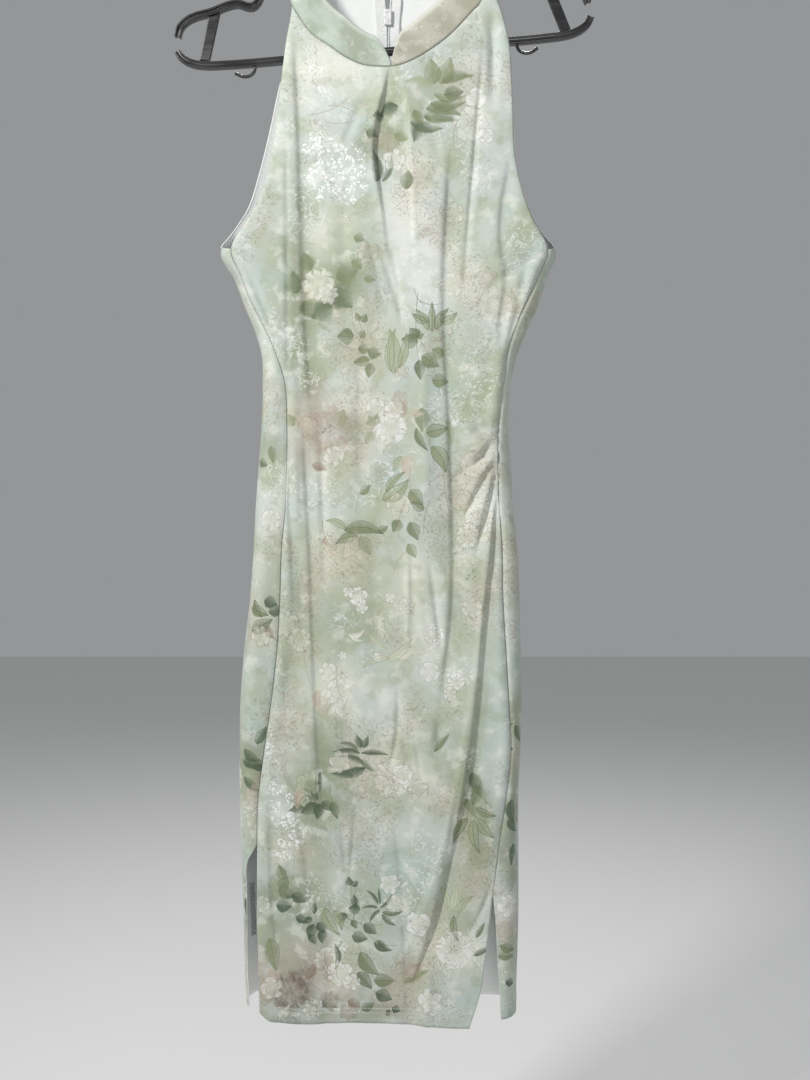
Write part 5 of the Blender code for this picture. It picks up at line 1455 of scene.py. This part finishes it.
def print_colour(start, plane):
    """The watercolour print: ground, white sprays, leaves, flowers, then drawn lines and twigs."""
    bleed = start.noise(plane, 190.0, 3.0)
    warp = start.noise(plane, 85.0, 2.0)
    blots = start.noise(plane, 24.0, 5.0)
    mottle = start.noise(plane, 52.0, 4.0)
    patches = start.noise(plane.scaled(1.0, 0.8, 1.0), 15.0, 1.0)
    warmth = start.noise(plane.scaled(1.0, 0.7, 1.0), 17.0, 4.0)
    ground = start.attribute("wash", "Color").layered(
        (blots.clear_of(0.53, 0.62) * 0.45, tinted(0.48)),
        ((1.0 - blots.clear_of(0.38, 0.46)) * 0.50, opaque(PALE_MINT)),
        (mottle.clear_of(0.54, 0.66) * 0.45, tinted(0.08)),
        ((1.0 - mottle.clear_of(0.34, 0.45)) * 0.30, tinted(0.66)),
        (warmth.clear_of(0.50, 0.66) * 0.30, tinted(-0.45)))
    spray = start.attribute("spray", "Fac")
    cells = start.node("ShaderNodeTexVoronoi", 0, {"Vector": plane, "Scale": 330.0, "Randomness": 0.9})
    clusters = start.noise(plane, 120.0, 2.0)
    floret = (1.0 - cells.clear_of(0.30, 0.58)) * clusters.clear_of(0.44, 0.50)
    stems = drawn_tangle(start, plane, 150.0, 16.0) * 0.8 * clusters.clear_of(0.46, 0.56)
    pale_lines = drawn_tangle(start, plane, 82.0, 17.0) * (1.0 - patches.clear_of(0.36, 0.46))
    brown_lines = drawn_tangle(start, plane, 96.0, 19.0) * patches.clear_of(0.49, 0.56)
    colour = ground.layered(
        (spray.clear_of(0.15, 0.8) * 0.22, tinted(WHITE)),
        (floret.math("MAXIMUM", stems) * spray.clear_of(0.18, 0.5), opaque(SPRAY_WHITE)),
        (pale_lines * 0.55, tinted(WHITE)),
        (brown_lines * 0.46, tinted(PEN_BROWN)))
    lines = []
    for number in range(LEAF_LAYERS):
        cover, drawn, tint, dark = leaf_layer(start, "leaf_%d" % number, bleed)
        colour = colour.toward(cover * 0.94, tint)
        lines.append((drawn * 0.70, dark))
    hearts = []
    for number in range(FLOWER_LAYERS):
        cover, drawn, core, tint, heart = flower_layer(start, "flower_%d" % number, bleed, warp)
        colour = colour.toward(cover, tint)
        lines.append((drawn * 0.62, tinted(-0.80)))
        hearts.append((core * 0.75, heart))
    colour = colour.layered(*lines, *hearts)
    for number in range(TWIG_LAYERS):
        line, tint = twig_layer(start, "twig_%d" % number)
        colour = colour.toward(line * 0.7, tint)
    return colour


def print_look():
    look, start = new_look("cloth_print")
    plane = start.node("ShaderNodeUVMap", 0, {}, uv_map="panel")
    bump, courses, grain = cloth_bump(start, plane, 0.35)
    colour = print_colour(start, plane)
    shade = (courses * 0.6 + grain * 0.4).clear_of(0.2, 0.85)
    colour = colour.toward((1.0 - shade) * 0.10, KNIT_SHADE)
    return finish_look(look, colour, bump, 0.72, 0.12)


def inside_look():
    """The white wrong side, with the print showing through faintly."""
    look, start = new_look("cloth_inside")
    plane = start.node("ShaderNodeUVMap", 0, {}, uv_map="panel")
    bump, courses, _ = cloth_bump(start, plane, 0.35)
    ghost = start.attribute("wash", "Color")
    colour = ghost.layered((0.86, INSIDE_WHITE), (courses.clear_of(0.5, 0.9) * 0.10, INSIDE_SHADE))
    return finish_look(look, colour, bump, 0.8, 0.1)


def adopt(piece, name, look, node=None, body=BODY):
    """Name a finished piece, give it its look and tie it to the frame."""
    piece.name = name
    piece.data.name = name
    if look is not None:
        piece.data.materials.clear()
        piece.data.materials.append(look)
    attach(piece, body)
    if node:
        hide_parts(node)
    return piece


def settle(piece):
    """Turn an object with modifiers, or a curve, into a plain mesh object at the origin."""
    depsgraph = bpy.context.evaluated_depsgraph_get()
    mesh = bpy.data.meshes.new_from_object(piece.evaluated_get(depsgraph), depsgraph=depsgraph)
    mesh.transform(piece.matrix_world)
    plain = bpy.data.objects.new(piece.name, mesh)
    bpy.context.scene.collection.objects.link(plain)
    old = piece.data
    bpy.data.objects.remove(piece)
    if isinstance(old, bpy.types.Mesh):
        bpy.data.meshes.remove(old)
    return plain


def grid_order(mesh, columns, rows):
    """Vertex numbers of a fresh grid as rows from top to bottom, each left to right."""
    flat = np.empty(len(mesh.vertices) * 3)
    mesh.vertices.foreach_get("co", flat)
    flat = flat.reshape(-1, 3)
    column = np.rint((flat[:, 0] + 0.5) * columns).astype(int)
    row = np.rint((0.5 - flat[:, 1]) * rows).astype(int)
    order = np.empty(len(flat), dtype=int)
    order[row * (columns + 1) + column] = np.arange(len(flat))
    return order.reshape(rows + 1, columns + 1)


def cloth(name, columns, rows, place, wall, paint=None):
    """A grid moved onto a surface and thickened inward. Shares run left to right and top to bottom."""
    bpy.ops.mesh.primitive_grid_add(x_subdivisions=columns, y_subdivisions=rows, size=1.0)
    piece = bpy.context.object
    mesh = piece.data
    order = grid_order(mesh, columns, rows)
    down, across = np.meshgrid(np.linspace(0, 1, rows + 1), np.linspace(0, 1, columns + 1), indexing="ij")
    points = place(across.ravel(), down.ravel())
    placed = np.empty((len(mesh.vertices), 3))
    placed[order.ravel()] = world(points).T
    mesh.vertices.foreach_set("co", placed.ravel())
    if paint is not None:
        paint(mesh, order, points.reshape(3, rows + 1, columns + 1))
    mesh.shade_smooth()
    mesh.update()
    shell = piece.modifiers.new("wall", "SOLIDIFY")
    shell.thickness = wall * MM
    shell.offset = -1.0
    shell.use_even_offset = False
    shell.material_offset = 1
    shell.material_offset_rim = 2
    for _ in ("outside", "inside", "edge"):
        mesh.materials.append(None)
    return settle(piece)


def sweep(name, points, section, closed=True, smooth=True):
    """A section drawn along a flat route in the hanger's own plane, as a mesh in world axes."""
    profile = bpy.data.curves.new(name + "_section", "CURVE")
    profile.dimensions = "2D"
    outline = profile.splines.new("POLY")
    outline.points.add(len(section) - 1)
    for point, (n, w) in zip(outline.points, section):
        point.co = (n * MM, w * MM, 0, 1)
    outline.use_cyclic_u = closed
    holder = bpy.data.objects.new(name + "_section", profile)
    bpy.context.scene.collection.objects.link(holder)
    curve = bpy.data.curves.new(name, "CURVE")
    curve.dimensions = "2D"
    curve.fill_mode = "NONE"
    spline = curve.splines.new("POLY")
    spline.points.add(len(points) - 1)
    for point, (u, d) in zip(spline.points, points):
        point.co = (u * MM, -d * MM, 0, 1)
    curve.bevel_mode = "OBJECT"
    curve.bevel_object = holder
    curve.use_fill_caps = True
    piece = bpy.data.objects.new(name, curve)
    bpy.context.scene.collection.objects.link(piece)
    bpy.context.view_layer.update()
    plain = settle(piece)
    bpy.data.objects.remove(holder)
    stand_up(plain.data)
    for polygon in plain.data.polygons:
        polygon.use_smooth = smooth
    return plain


def stand_up(mesh):
    """Turn a mesh from the hanger's drawing plane into the world, with the hanger's tilt."""
    flat = np.empty(len(mesh.vertices) * 3)
    mesh.vertices.foreach_get("co", flat)
    a, b, c = flat.reshape(-1, 3).T
    turned = np.stack([a * math.cos(TILT) - b * math.sin(TILT), -c,
                       a * math.sin(TILT) + b * math.cos(TILT)], axis=1)
    mesh.vertices.foreach_set("co", turned.ravel())
    mesh.update()
    mesh.calc_loop_triangles()


def route_points(columns, sign, spacing, both_ways=False):
    length = np.sqrt(np.diff(columns["u"]) ** 2 + np.diff(columns["d"]) ** 2).sum()
    steps = max(2, int(length / spacing))
    path = route(columns, ("u", "d"), np.linspace(0, 1, steps + 1)).T
    points = [(sign * u, d) for u, d in path]
    if both_ways:
        points = [(-u, d) for u, d in points[:0:-1]] + points
    return points


def circle(radius, count=20):
    turns = np.linspace(0, 2 * math.pi, count, endpoint=False)
    return [(radius * math.cos(turn), radius * math.sin(turn)) for turn in turns]


def block(name, size, centre, bevel=0.0, segments=3):
    """A block in millimetres with rounded edges, its place in the mesh."""
    bpy.ops.mesh.primitive_cube_add(size=1.0)
    piece = bpy.context.object
    piece.name = name
    for vertex in piece.data.vertices:
        vertex.co = [(vertex.co[axis] * size[axis] + centre[axis]) * MM for axis in range(3)]
    if bevel:
        rounded = piece.modifiers.new("edges", "BEVEL")
        rounded.width = bevel * MM
        rounded.segments = segments
        rounded.limit_method = "ANGLE"
    bpy.context.view_layer.update()
    return piece


def bored(piece, tool):
    """Cut one block out of another."""
    step = piece.modifiers.new("cut", "BOOLEAN")
    step.object = tool
    step.operation = "DIFFERENCE"
    step.solver = "EXACT"
    bpy.context.view_layer.update()
    plain = settle(piece)
    bpy.data.objects.remove(tool)
    return plain


def plain_look(name, colour, roughness):
    look = bpy.data.materials.new(name)
    look.use_nodes = True
    shader = look.node_tree.nodes["Principled BSDF"]
    shader.inputs["Base Color"].default_value = (*colour, 1.0)
    shader.inputs["Roughness"].default_value = roughness
    return look


def dress_cloth(name, columns, rows, place, wall, looks, node, paint=None):
    piece = cloth(name, columns, rows, place, wall, paint)
    for index, look in enumerate(looks):
        piece.data.materials[index] = look
    return adopt(piece, name, None, node)


def back_place(which):
    """A back panel's point function for a grid that runs left to right."""
    def place(across, down):
        return back_point(across if which == "right" else 1 - across, down, which)
    return place


def build_dress(looks):
    made = {}
    made["front"] = dress_cloth(
        "front_cloth", FRONT_COLUMNS, ALL_ROWS, front_point, CLOTH_WALL, looks["print"],
        "front", painter(FRONT_PRINT, lambda points: points[:2]))
    for which, sign in SIGNS.items():
        made["back_" + which] = dress_cloth(
            "back_" + which + "_cloth", BACK_COLUMNS, ALL_ROWS, back_place(which), CLOTH_WALL,
            looks["print"], "back_" + which, painter(back_print(which), flat_back(sign)))
    for which in SIGNS:
        place, columns = collar_point(which)
        made["collar_" + which] = dress_cloth(
            "collar_" + which + "_cloth", columns, COLLAR_ROWS, place, COLLAR_WALL,
            looks["collar_" + which], "collar_" + which)
    return made


def build_zip(looks):
    made = {}
    for which in SIGNS:
        made["tape_" + which] = dress_cloth(
            "zip_tape_" + which + "_cloth", 8, 300, tape_point(which), TAPE_WALL,
            (looks["tape"],) * 3, "zip_tape_" + which)
    centre_x = CENTRE_X + CENTRE_BACK_X
    axis_drop, axis_depth = PULL_AXIS
    axis_y = axis_depth - HANGER_PLANE
    body_y = SLIDER_BODY_DEPTH - HANGER_PLANE
    parts = [block("slider_shell", (*SLIDER_SHELL, SLIDER_LENGTH),
                   (centre_x, body_y, -SLIDER_TOP_DROP - SLIDER_LENGTH / 2), 0.9)]
    neck_length = axis_y - body_y
    parts.append(block("slider_neck", (1.0, neck_length, BAIL_SIZE[2] - 1.0),
                       (centre_x, body_y + neck_length / 2 - 0.7, -axis_drop), 0.2))
    bail = block("slider_bail", BAIL_SIZE, (centre_x, axis_y, -axis_drop), 0.3)
    window = block("bail_window", (4.0, BAIL_WINDOW, BAIL_WINDOW), (centre_x, axis_y, -axis_drop))
    parts.append(bored(bail, window))
    slider = joined("zip_slider_body", parts)
    made["slider"] = adopt(slider, "zip_slider_body", looks["zip"], "zip_slider")
    width, thickness, length = PULL_SIZE
    centre_z = -axis_drop + PULL_BAR / 2 - length / 2
    pull = block("pull", (width, thickness, length), (centre_x, axis_y, centre_z), 0.35)
    window_width, window_length = PULL_WINDOW
    slot = block("pull_slot", (window_width, 4 * thickness, window_length),
                 (centre_x, axis_y, -axis_drop - PULL_BAR / 2 - window_length / 2))
    pull = bored(pull, slot)
    made["pull"] = adopt(pull, "zip_pull_tab", looks["zip"], "zip_pull", PULL_BODY)
    return made


STITCH_PITCH = 2.7
STITCH_LENGTH = 1.9
STITCH_RISES = (10.5, 15.0)
STITCH_LIFT = 0.08
STITCH_RADIUS = 0.24
SERGE_SHARES = (0.875, 0.935)
SERGE_TURNS = 31
SERGE_REACH = (0.272, 0.338)
# The dark zigzag is painted shade for the shadowed gaps between the light thread's turns.
SERGE_RADIUS = {"light": 0.38, "dark": 0.22}
COIL_OFFSET = 1.0
COIL_SWAY = 0.35
COIL_RADIUS = 0.45


def lifted(points, rise):
    """Points of the flattened tube moved outward from it."""
    x, drop, depth = points
    axis_x = np.clip(x, side("fold_left", drop) + END_RADIUS, side("fold_right", drop) - END_RADIUS)
    out_x = x - axis_x
    out_depth = depth - side("depth", drop) / 2
    reach = np.hypot(out_x, out_depth)
    return np.stack([x + rise * out_x / reach, drop, depth + rise * out_depth / reach])


def above_hem(place, across, rise):
    """Points on a panel's print side at a height above its hem."""
    downs = np.linspace(0.95, 1.0, 41)
    shares, levels = np.meshgrid(across, downs, indexing="ij")
    grid = place(shares.ravel(), levels.ravel()).reshape(3, len(across), len(downs))
    return np.array([[np.interp(column[1][-1] - rise, column[1], column[axis]) for axis in range(3)]
                     for column in np.moveaxis(grid, 1, 0)]).T


def threads(name, runs, radius, look):
    """One mesh of thin threads, each along its own run of points."""
    curve = bpy.data.curves.new(name, "CURVE")
    curve.dimensions = "3D"
    curve.bevel_depth = radius * MM
    curve.bevel_resolution = 1
    curve.use_fill_caps = True
    for points in runs:
        spline = curve.splines.new("POLY")
        placed = world(points).T
        spline.points.add(len(placed) - 1)
        spline.points.foreach_set("co", np.column_stack([placed, np.ones(len(placed))]).ravel())
    piece = bpy.data.objects.new(name, curve)
    bpy.context.scene.collection.objects.link(piece)
    bpy.context.view_layer.update()
    return adopt(settle(piece), name, look)


def hem_stitches(name, place, look):
    """Two rows of short stitches above a panel's hem."""
    length = np.hypot(*np.diff(above_hem(place, np.linspace(0, 1, 60), 0.0)[::2], axis=1)).sum()
    count = int(length / STITCH_PITCH)
    runs = []
    for rise in STITCH_RISES:
        starts = (np.arange(count) + 0.5) / count
        ends = starts + STITCH_LENGTH / STITCH_PITCH / count
        first = lifted(above_hem(place, starts, rise), STITCH_LIFT)
        last = lifted(above_hem(place, np.minimum(ends, 1.0), rise), STITCH_LIFT)
        runs += [np.stack([first[:, index], last[:, index]], axis=1) for index in range(count)]
    return threads(name, runs, STITCH_RADIUS, look)


def slit_serging(shade, first, look):
    """A zigzag thread along the left slit's edge, seen on the back panel's inside: the light one binds the
    edge, the dark one is painted shade for the gaps between the light thread's turns.
    """
    radius = SERGE_RADIUS[shade]
    zigzag = []
    for turn, down in enumerate(np.linspace(*SERGE_SHARES, SERGE_TURNS)):
        shares = SERGE_REACH[(turn + first) % 2] + np.array([0.0, 0.01])
        x, drop, depth = back_point(shares, np.full(2, down), "left")
        step = (x[1] - x[0], depth[1] - depth[0])
        lift = (CLOTH_WALL + radius) / math.hypot(*step)
        zigzag.append([x[0] + step[1] * lift, drop[0], depth[0] - step[0] * lift])
    return threads("slit_serging_" + shade, [np.array(zigzag).T], radius, look)


def zip_coils(look):
    """The zip's two coils: side by side below the slider, parting above it."""
    drops = np.arange(TAPE_TOP_DROP + 1.0, TAPE_BOTTOM_DROP - 4.0, 0.7)
    runs = []
    for sign in SIGNS.values():
        centre = centre_back(drops, sign)
        sway = COIL_SWAY * np.sin(np.arange(len(drops)) * math.pi * 0.5)
        runs.append(np.stack([centre[0] + sign * (COIL_OFFSET + sway), drops,
                              centre[2] - CLOTH_WALL - TAPE_WALL - 1.3]))
    return threads("zip_coils", runs, COIL_RADIUS, look)


def joined(name, parts):
    """Several mesh objects as one, their modifiers applied first."""
    plain = [settle(part) if part.modifiers else part for part in parts]
    bpy.ops.object.select_all(action="DESELECT")
    for part in plain:
        part.select_set(True)
    bpy.context.view_layer.objects.active = plain[0]
    if len(plain) > 1:
        bpy.ops.object.join()
    whole = bpy.context.view_layer.objects.active
    whole.name = name
    bpy.ops.object.select_all(action="DESELECT")
    return whole


def build_stitching(looks):
    made = {"front": [hem_stitches("hem_stitches_front", front_point, looks["thread"])]}
    for which in SIGNS:
        made["back_" + which] = [hem_stitches(
            "hem_stitches_" + which, lambda out, down: back_point(out, down, which), looks["thread"])]
    made["back_left"].append(slit_serging("light", 0, looks["thread"]))
    # The dark zigzag is painted shade in the gaps of the light serging.
    made["back_left"].append(slit_serging("dark", 1, looks["serge_gap_shade"]))
    zip_coils(looks["zip"])
    return made


def build_hanger(look):
    def fit(piece, name, node):
        adopt(piece, name, look, node)

    stem = HUB_TOP - 0.3
    loop = HOOK_RADIUS + HOOK_ROD
    turns = np.radians(np.arange(20, -196, -6))
    arc = [(loop * math.cos(turn), HOOK_RADIUS + loop * math.sin(turn)) for turn in turns]
    hook_route = table("u d", (0, stem), (0, stem - 6), (3, 54), (16, 43), *arc)
    hook = sweep("hook_rod", route_points(hook_route, 1, 2.0), circle(HOOK_ROD, 24))
    fit(hook, "hook_rod", "hook")
    hub = block("hub_block", HUB_SIZE, (0, 0, -(HUB_TOP + HUB_SIZE[2] / 2)), 1.6, 4)
    hub = settle(hub)
    turn_in_plane(hub.data)
    fit(hub, "hub_block", "hub")
    bar = sweep("bar_rod", route_points(BAR_ROUTE, 1, 4.0, both_ways=True), BAR_SECTION)
    fit(bar, "bar_rod", "bar")
    for which, sign in SIGNS.items():
        arm = sweep("arm_" + which + "_channel", route_points(ARM_ROUTE, sign, 1.5), ARM_SECTION)
        fit(arm, "arm_" + which + "_channel", "arm_" + which)
        tab = sweep("tab_" + which + "_wire", route_points(TAB_ROUTE, sign, 1.0), circle(TAB_ROD, 14))
        fit(tab, "tab_" + which + "_wire", "tab_" + which)
        run = (STRUT_BOTTOM[0] - STRUT_TOP[0], STRUT_BOTTOM[1] - STRUT_TOP[1])
        length = math.hypot(*run)
        strut = block("strut", (STRUT_WIDTH, STRUT_THICKNESS, length), (0, 0, 0))
        for vertex in strut.data.vertices:
            slope = STRUT_TOP_SLOPE if vertex.co.z > 0 else STRUT_BOTTOM_SLOPE
            vertex.co.z -= sign * slope * vertex.co.x
        lean = -sign * math.atan2(run[0], run[1])
        middle = (sign * (STRUT_TOP[0] + STRUT_BOTTOM[0]) / 2, (STRUT_TOP[1] + STRUT_BOTTOM[1]) / 2)
        for vertex in strut.data.vertices:
            x = vertex.co.x * math.cos(lean) + vertex.co.z * math.sin(lean)
            z = vertex.co.z * math.cos(lean) - vertex.co.x * math.sin(lean)
            vertex.co.x = x + middle[0] * MM
            vertex.co.z = z - middle[1] * MM
        rounded = strut.modifiers.new("edges", "BEVEL")
        rounded.width = STRUT_BEVEL * MM
        rounded.segments = 3
        strut = settle(strut)
        turn_in_plane(strut.data)
        fit(strut, "strut_" + which + "_plate", "strut_" + which)


def turn_in_plane(mesh):
    """Turn a mesh drawn upright in the hanger's axes (u, y, -d) by the hanger's tilt."""
    for vertex in mesh.vertices:
        u, y, z = vertex.co
        vertex.co = (u * math.cos(TILT) - z * math.sin(TILT), y, z * math.cos(TILT) + u * math.sin(TILT))
    mesh.update()


CAMERA_PLACE = (0.035, -1.022, -0.680)
LENS = 33.333
FLOOR_LEVEL = -1.5
FLOOR_COLOUR = (0.82, 0.82, 0.81)
SKY_COLOUR = (0.93, 0.95, 0.97, 1.0)
SKY_STRENGTH = 0.32
LIGHT_TARGET = (0.0, 0.0, -0.5)
# Each light's name, place, size, power and colour.
LIGHTS = (
    ("key", (-0.95, -1.05, 0.32), (0.22, 0.22), 21.0, (1.0, 0.99, 0.97)),
    ("fill", (0.25, -1.5, -0.35), (0.5, 0.7), 3.6, (0.97, 0.985, 1.0)),
    ("rim", (0.15, 1.3, 0.85), (0.9, 0.4), 22.0, (1.0, 1.0, 1.0)),
)


def light(name, place, size, power, colour):
    lamp = bpy.data.lights.new(name, "AREA")
    lamp.shape = "RECTANGLE"
    lamp.size, lamp.size_y = size
    lamp.energy = power
    lamp.color = colour
    holder = bpy.data.objects.new(name, lamp)
    holder.location = place
    holder.rotation_mode = "QUATERNION"
    holder.rotation_quaternion = (Vector(LIGHT_TARGET) - Vector(place)).to_track_quat("-Z", "Y")
    bpy.context.scene.collection.objects.link(holder)


def build_stage():
    bpy.ops.mesh.primitive_plane_add(size=12.0, location=(0, 0, FLOOR_LEVEL))
    floor = bpy.context.object
    floor.name = "floor"
    floor.data.materials.append(plain_look("floor_pale", FLOOR_COLOUR, 0.9))
    sky = bpy.context.scene.world or bpy.data.worlds.new("pale")
    bpy.context.scene.world = sky
    sky.use_nodes = True
    sky.node_tree.nodes["Background"].inputs["Color"].default_value = SKY_COLOUR
    sky.node_tree.nodes["Background"].inputs["Strength"].default_value = SKY_STRENGTH
    for row in LIGHTS:
        light(*row)
    eye = bpy.data.cameras.new("camera")
    eye.sensor_fit = "VERTICAL"
    eye.sensor_height = 36.0
    eye.lens = LENS
    camera = bpy.data.objects.new("camera", eye)
    camera.location = CAMERA_PLACE
    camera.rotation_euler = (math.radians(90), 0, 0)
    bpy.context.scene.collection.objects.link(camera)
    bpy.context.scene.camera = camera
    bpy.context.scene.view_settings.view_transform = "Standard"


def collar_look(name, ground, blot_and_seam_shade, edge):
    """A collar half: blotted ground, painted shade darkening it towards its seam, and a painted highlight
    along its rolled upper edge.
    """
    look, start = new_look(name)
    place = start.node("ShaderNodeTexCoord", "Object", {})
    _, height, _ = start.node("ShaderNodeUVMap", 0, {}, uv_map="UVMap").parts()
    blots = start.noise(place, 38.0, 5.0)
    fine = start.noise(place, 120.0, 3.0)
    tangle = drawn_tangle(start, place, 90.0, 15.0)
    courses = start.noise(place.scaled(300.0, 300.0, 1500.0), 1.0, 2.0)
    bump = start.node("ShaderNodeBump", 0, {"Strength": 0.35, "Distance": 0.0004, "Height": courses})
    colour = blots.clear_of(0.34, 0.64).ramp([(0.0, linear(ground)), (1.0, linear(blot_and_seam_shade))])
    colour = colour.layered(
        (fine.clear_of(0.50, 0.70) * 0.3, opaque(edge)),
        (tangle * fine.clear_of(0.48, 0.56) * 0.4, tinted(PEN_BROWN)),
        # Painted highlight: the edge colour laid along the rolled upper edge.
        (height.clear_of(0.78, 0.97) * 0.75, opaque(edge)),
        # Painted shade: the blot colour laid along the neck seam.
        ((1.0 - height.clear_of(0.0, 0.10)) * 0.55, opaque(blot_and_seam_shade)))
    return finish_look(look, colour, bump, 0.72, 0.12)


def white_look(name, scale, shade, roughness):
    """A white piece with a fine grain of slightly darker threads."""
    look, start = new_look(name)
    place = start.node("ShaderNodeTexCoord", "Object", {})
    grain = start.noise(place.scaled(1.0, 1.0, scale), 500.0, 2.0)
    bump = start.node("ShaderNodeBump", 0, {"Strength": 0.3, "Distance": 0.0003, "Height": grain})
    colour = grain.clear_of(0.3, 0.7).ramp([(0.0, linear(shade)), (1.0, linear((238, 239, 237)))])
    return finish_look(look, colour, bump, roughness, 0.0)


def satin_black_look():
    """The hanger's moulded satin black, with faint flow marks along it and a fine grain in its bump."""
    look, start = new_look("hanger_black")
    place = start.node("ShaderNodeTexCoord", "Object", {})
    marks = start.noise(place.scaled(30.0, 200.0, 200.0), 1.0, 3.0)
    grain = start.noise(place, 900.0, 2.0)
    bump = start.node("ShaderNodeBump", 0, {"Strength": 0.10, "Distance": 0.0003,
                                            "Height": marks * 0.6 + grain * 0.4})
    colour = marks.clear_of(0.35, 0.75).ramp([(0.0, linear((18, 18, 20))), (1.0, linear((34, 34, 37)))])
    finish_look(look, colour, bump, 0.30, 0.0)
    shader = look.node_tree.nodes["Principled BSDF"]
    shader.inputs["Specular IOR Level"].default_value = 0.7
    shader.inputs["Coat Weight"].default_value = 0.8
    shader.inputs["Coat Roughness"].default_value = 0.12
    rough = 0.24 + marks.clear_of(0.3, 0.7) * 0.16
    look.node_tree.links.new(rough.socket, shader.inputs["Roughness"])
    return look


def main():
    bpy.ops.object.select_all(action="DESELECT")
    outside = print_look()
    inside = inside_look()
    lining = white_look("collar_inside", 3.0, (206, 208, 206), 0.8)
    # Collar colours: ground, blot (also the painted shade at the seam) and edge (also the painted highlight
    # on the rolled edge).
    band_left = collar_look("collar_left_print", (192, 204, 192), (166, 176, 158), (222, 228, 218))
    band_right = collar_look("collar_right_print", (190, 190, 176), (172, 171, 154), (226, 226, 215))
    zip_white = white_look("zip_white", 1.0, (206, 208, 208), 0.42)
    tape = white_look("zip_tape", 6.0, (212, 214, 214), 0.85)
    black = satin_black_look()
    looks = {
        "print": (outside, inside, inside), "collar_left": (band_left, lining, band_left),
        "collar_right": (band_right, lining, band_right), "zip": zip_white, "tape": tape,
        "hanger": black, "thread": white_look("thread_white", 1.0, (204, 208, 200), 0.7),
        # The grey thread is painted shade for the gaps between the serging's light turns.
        "serge_gap_shade": white_look("serging_gap_shade", 1.0, (70, 76, 66), 0.8),
    }
    cloths = build_dress(looks)
    cloths.update(build_zip(looks))
    stitching = build_stitching(looks)
    build_hanger(looks["hanger"])
    build_stage()


main()
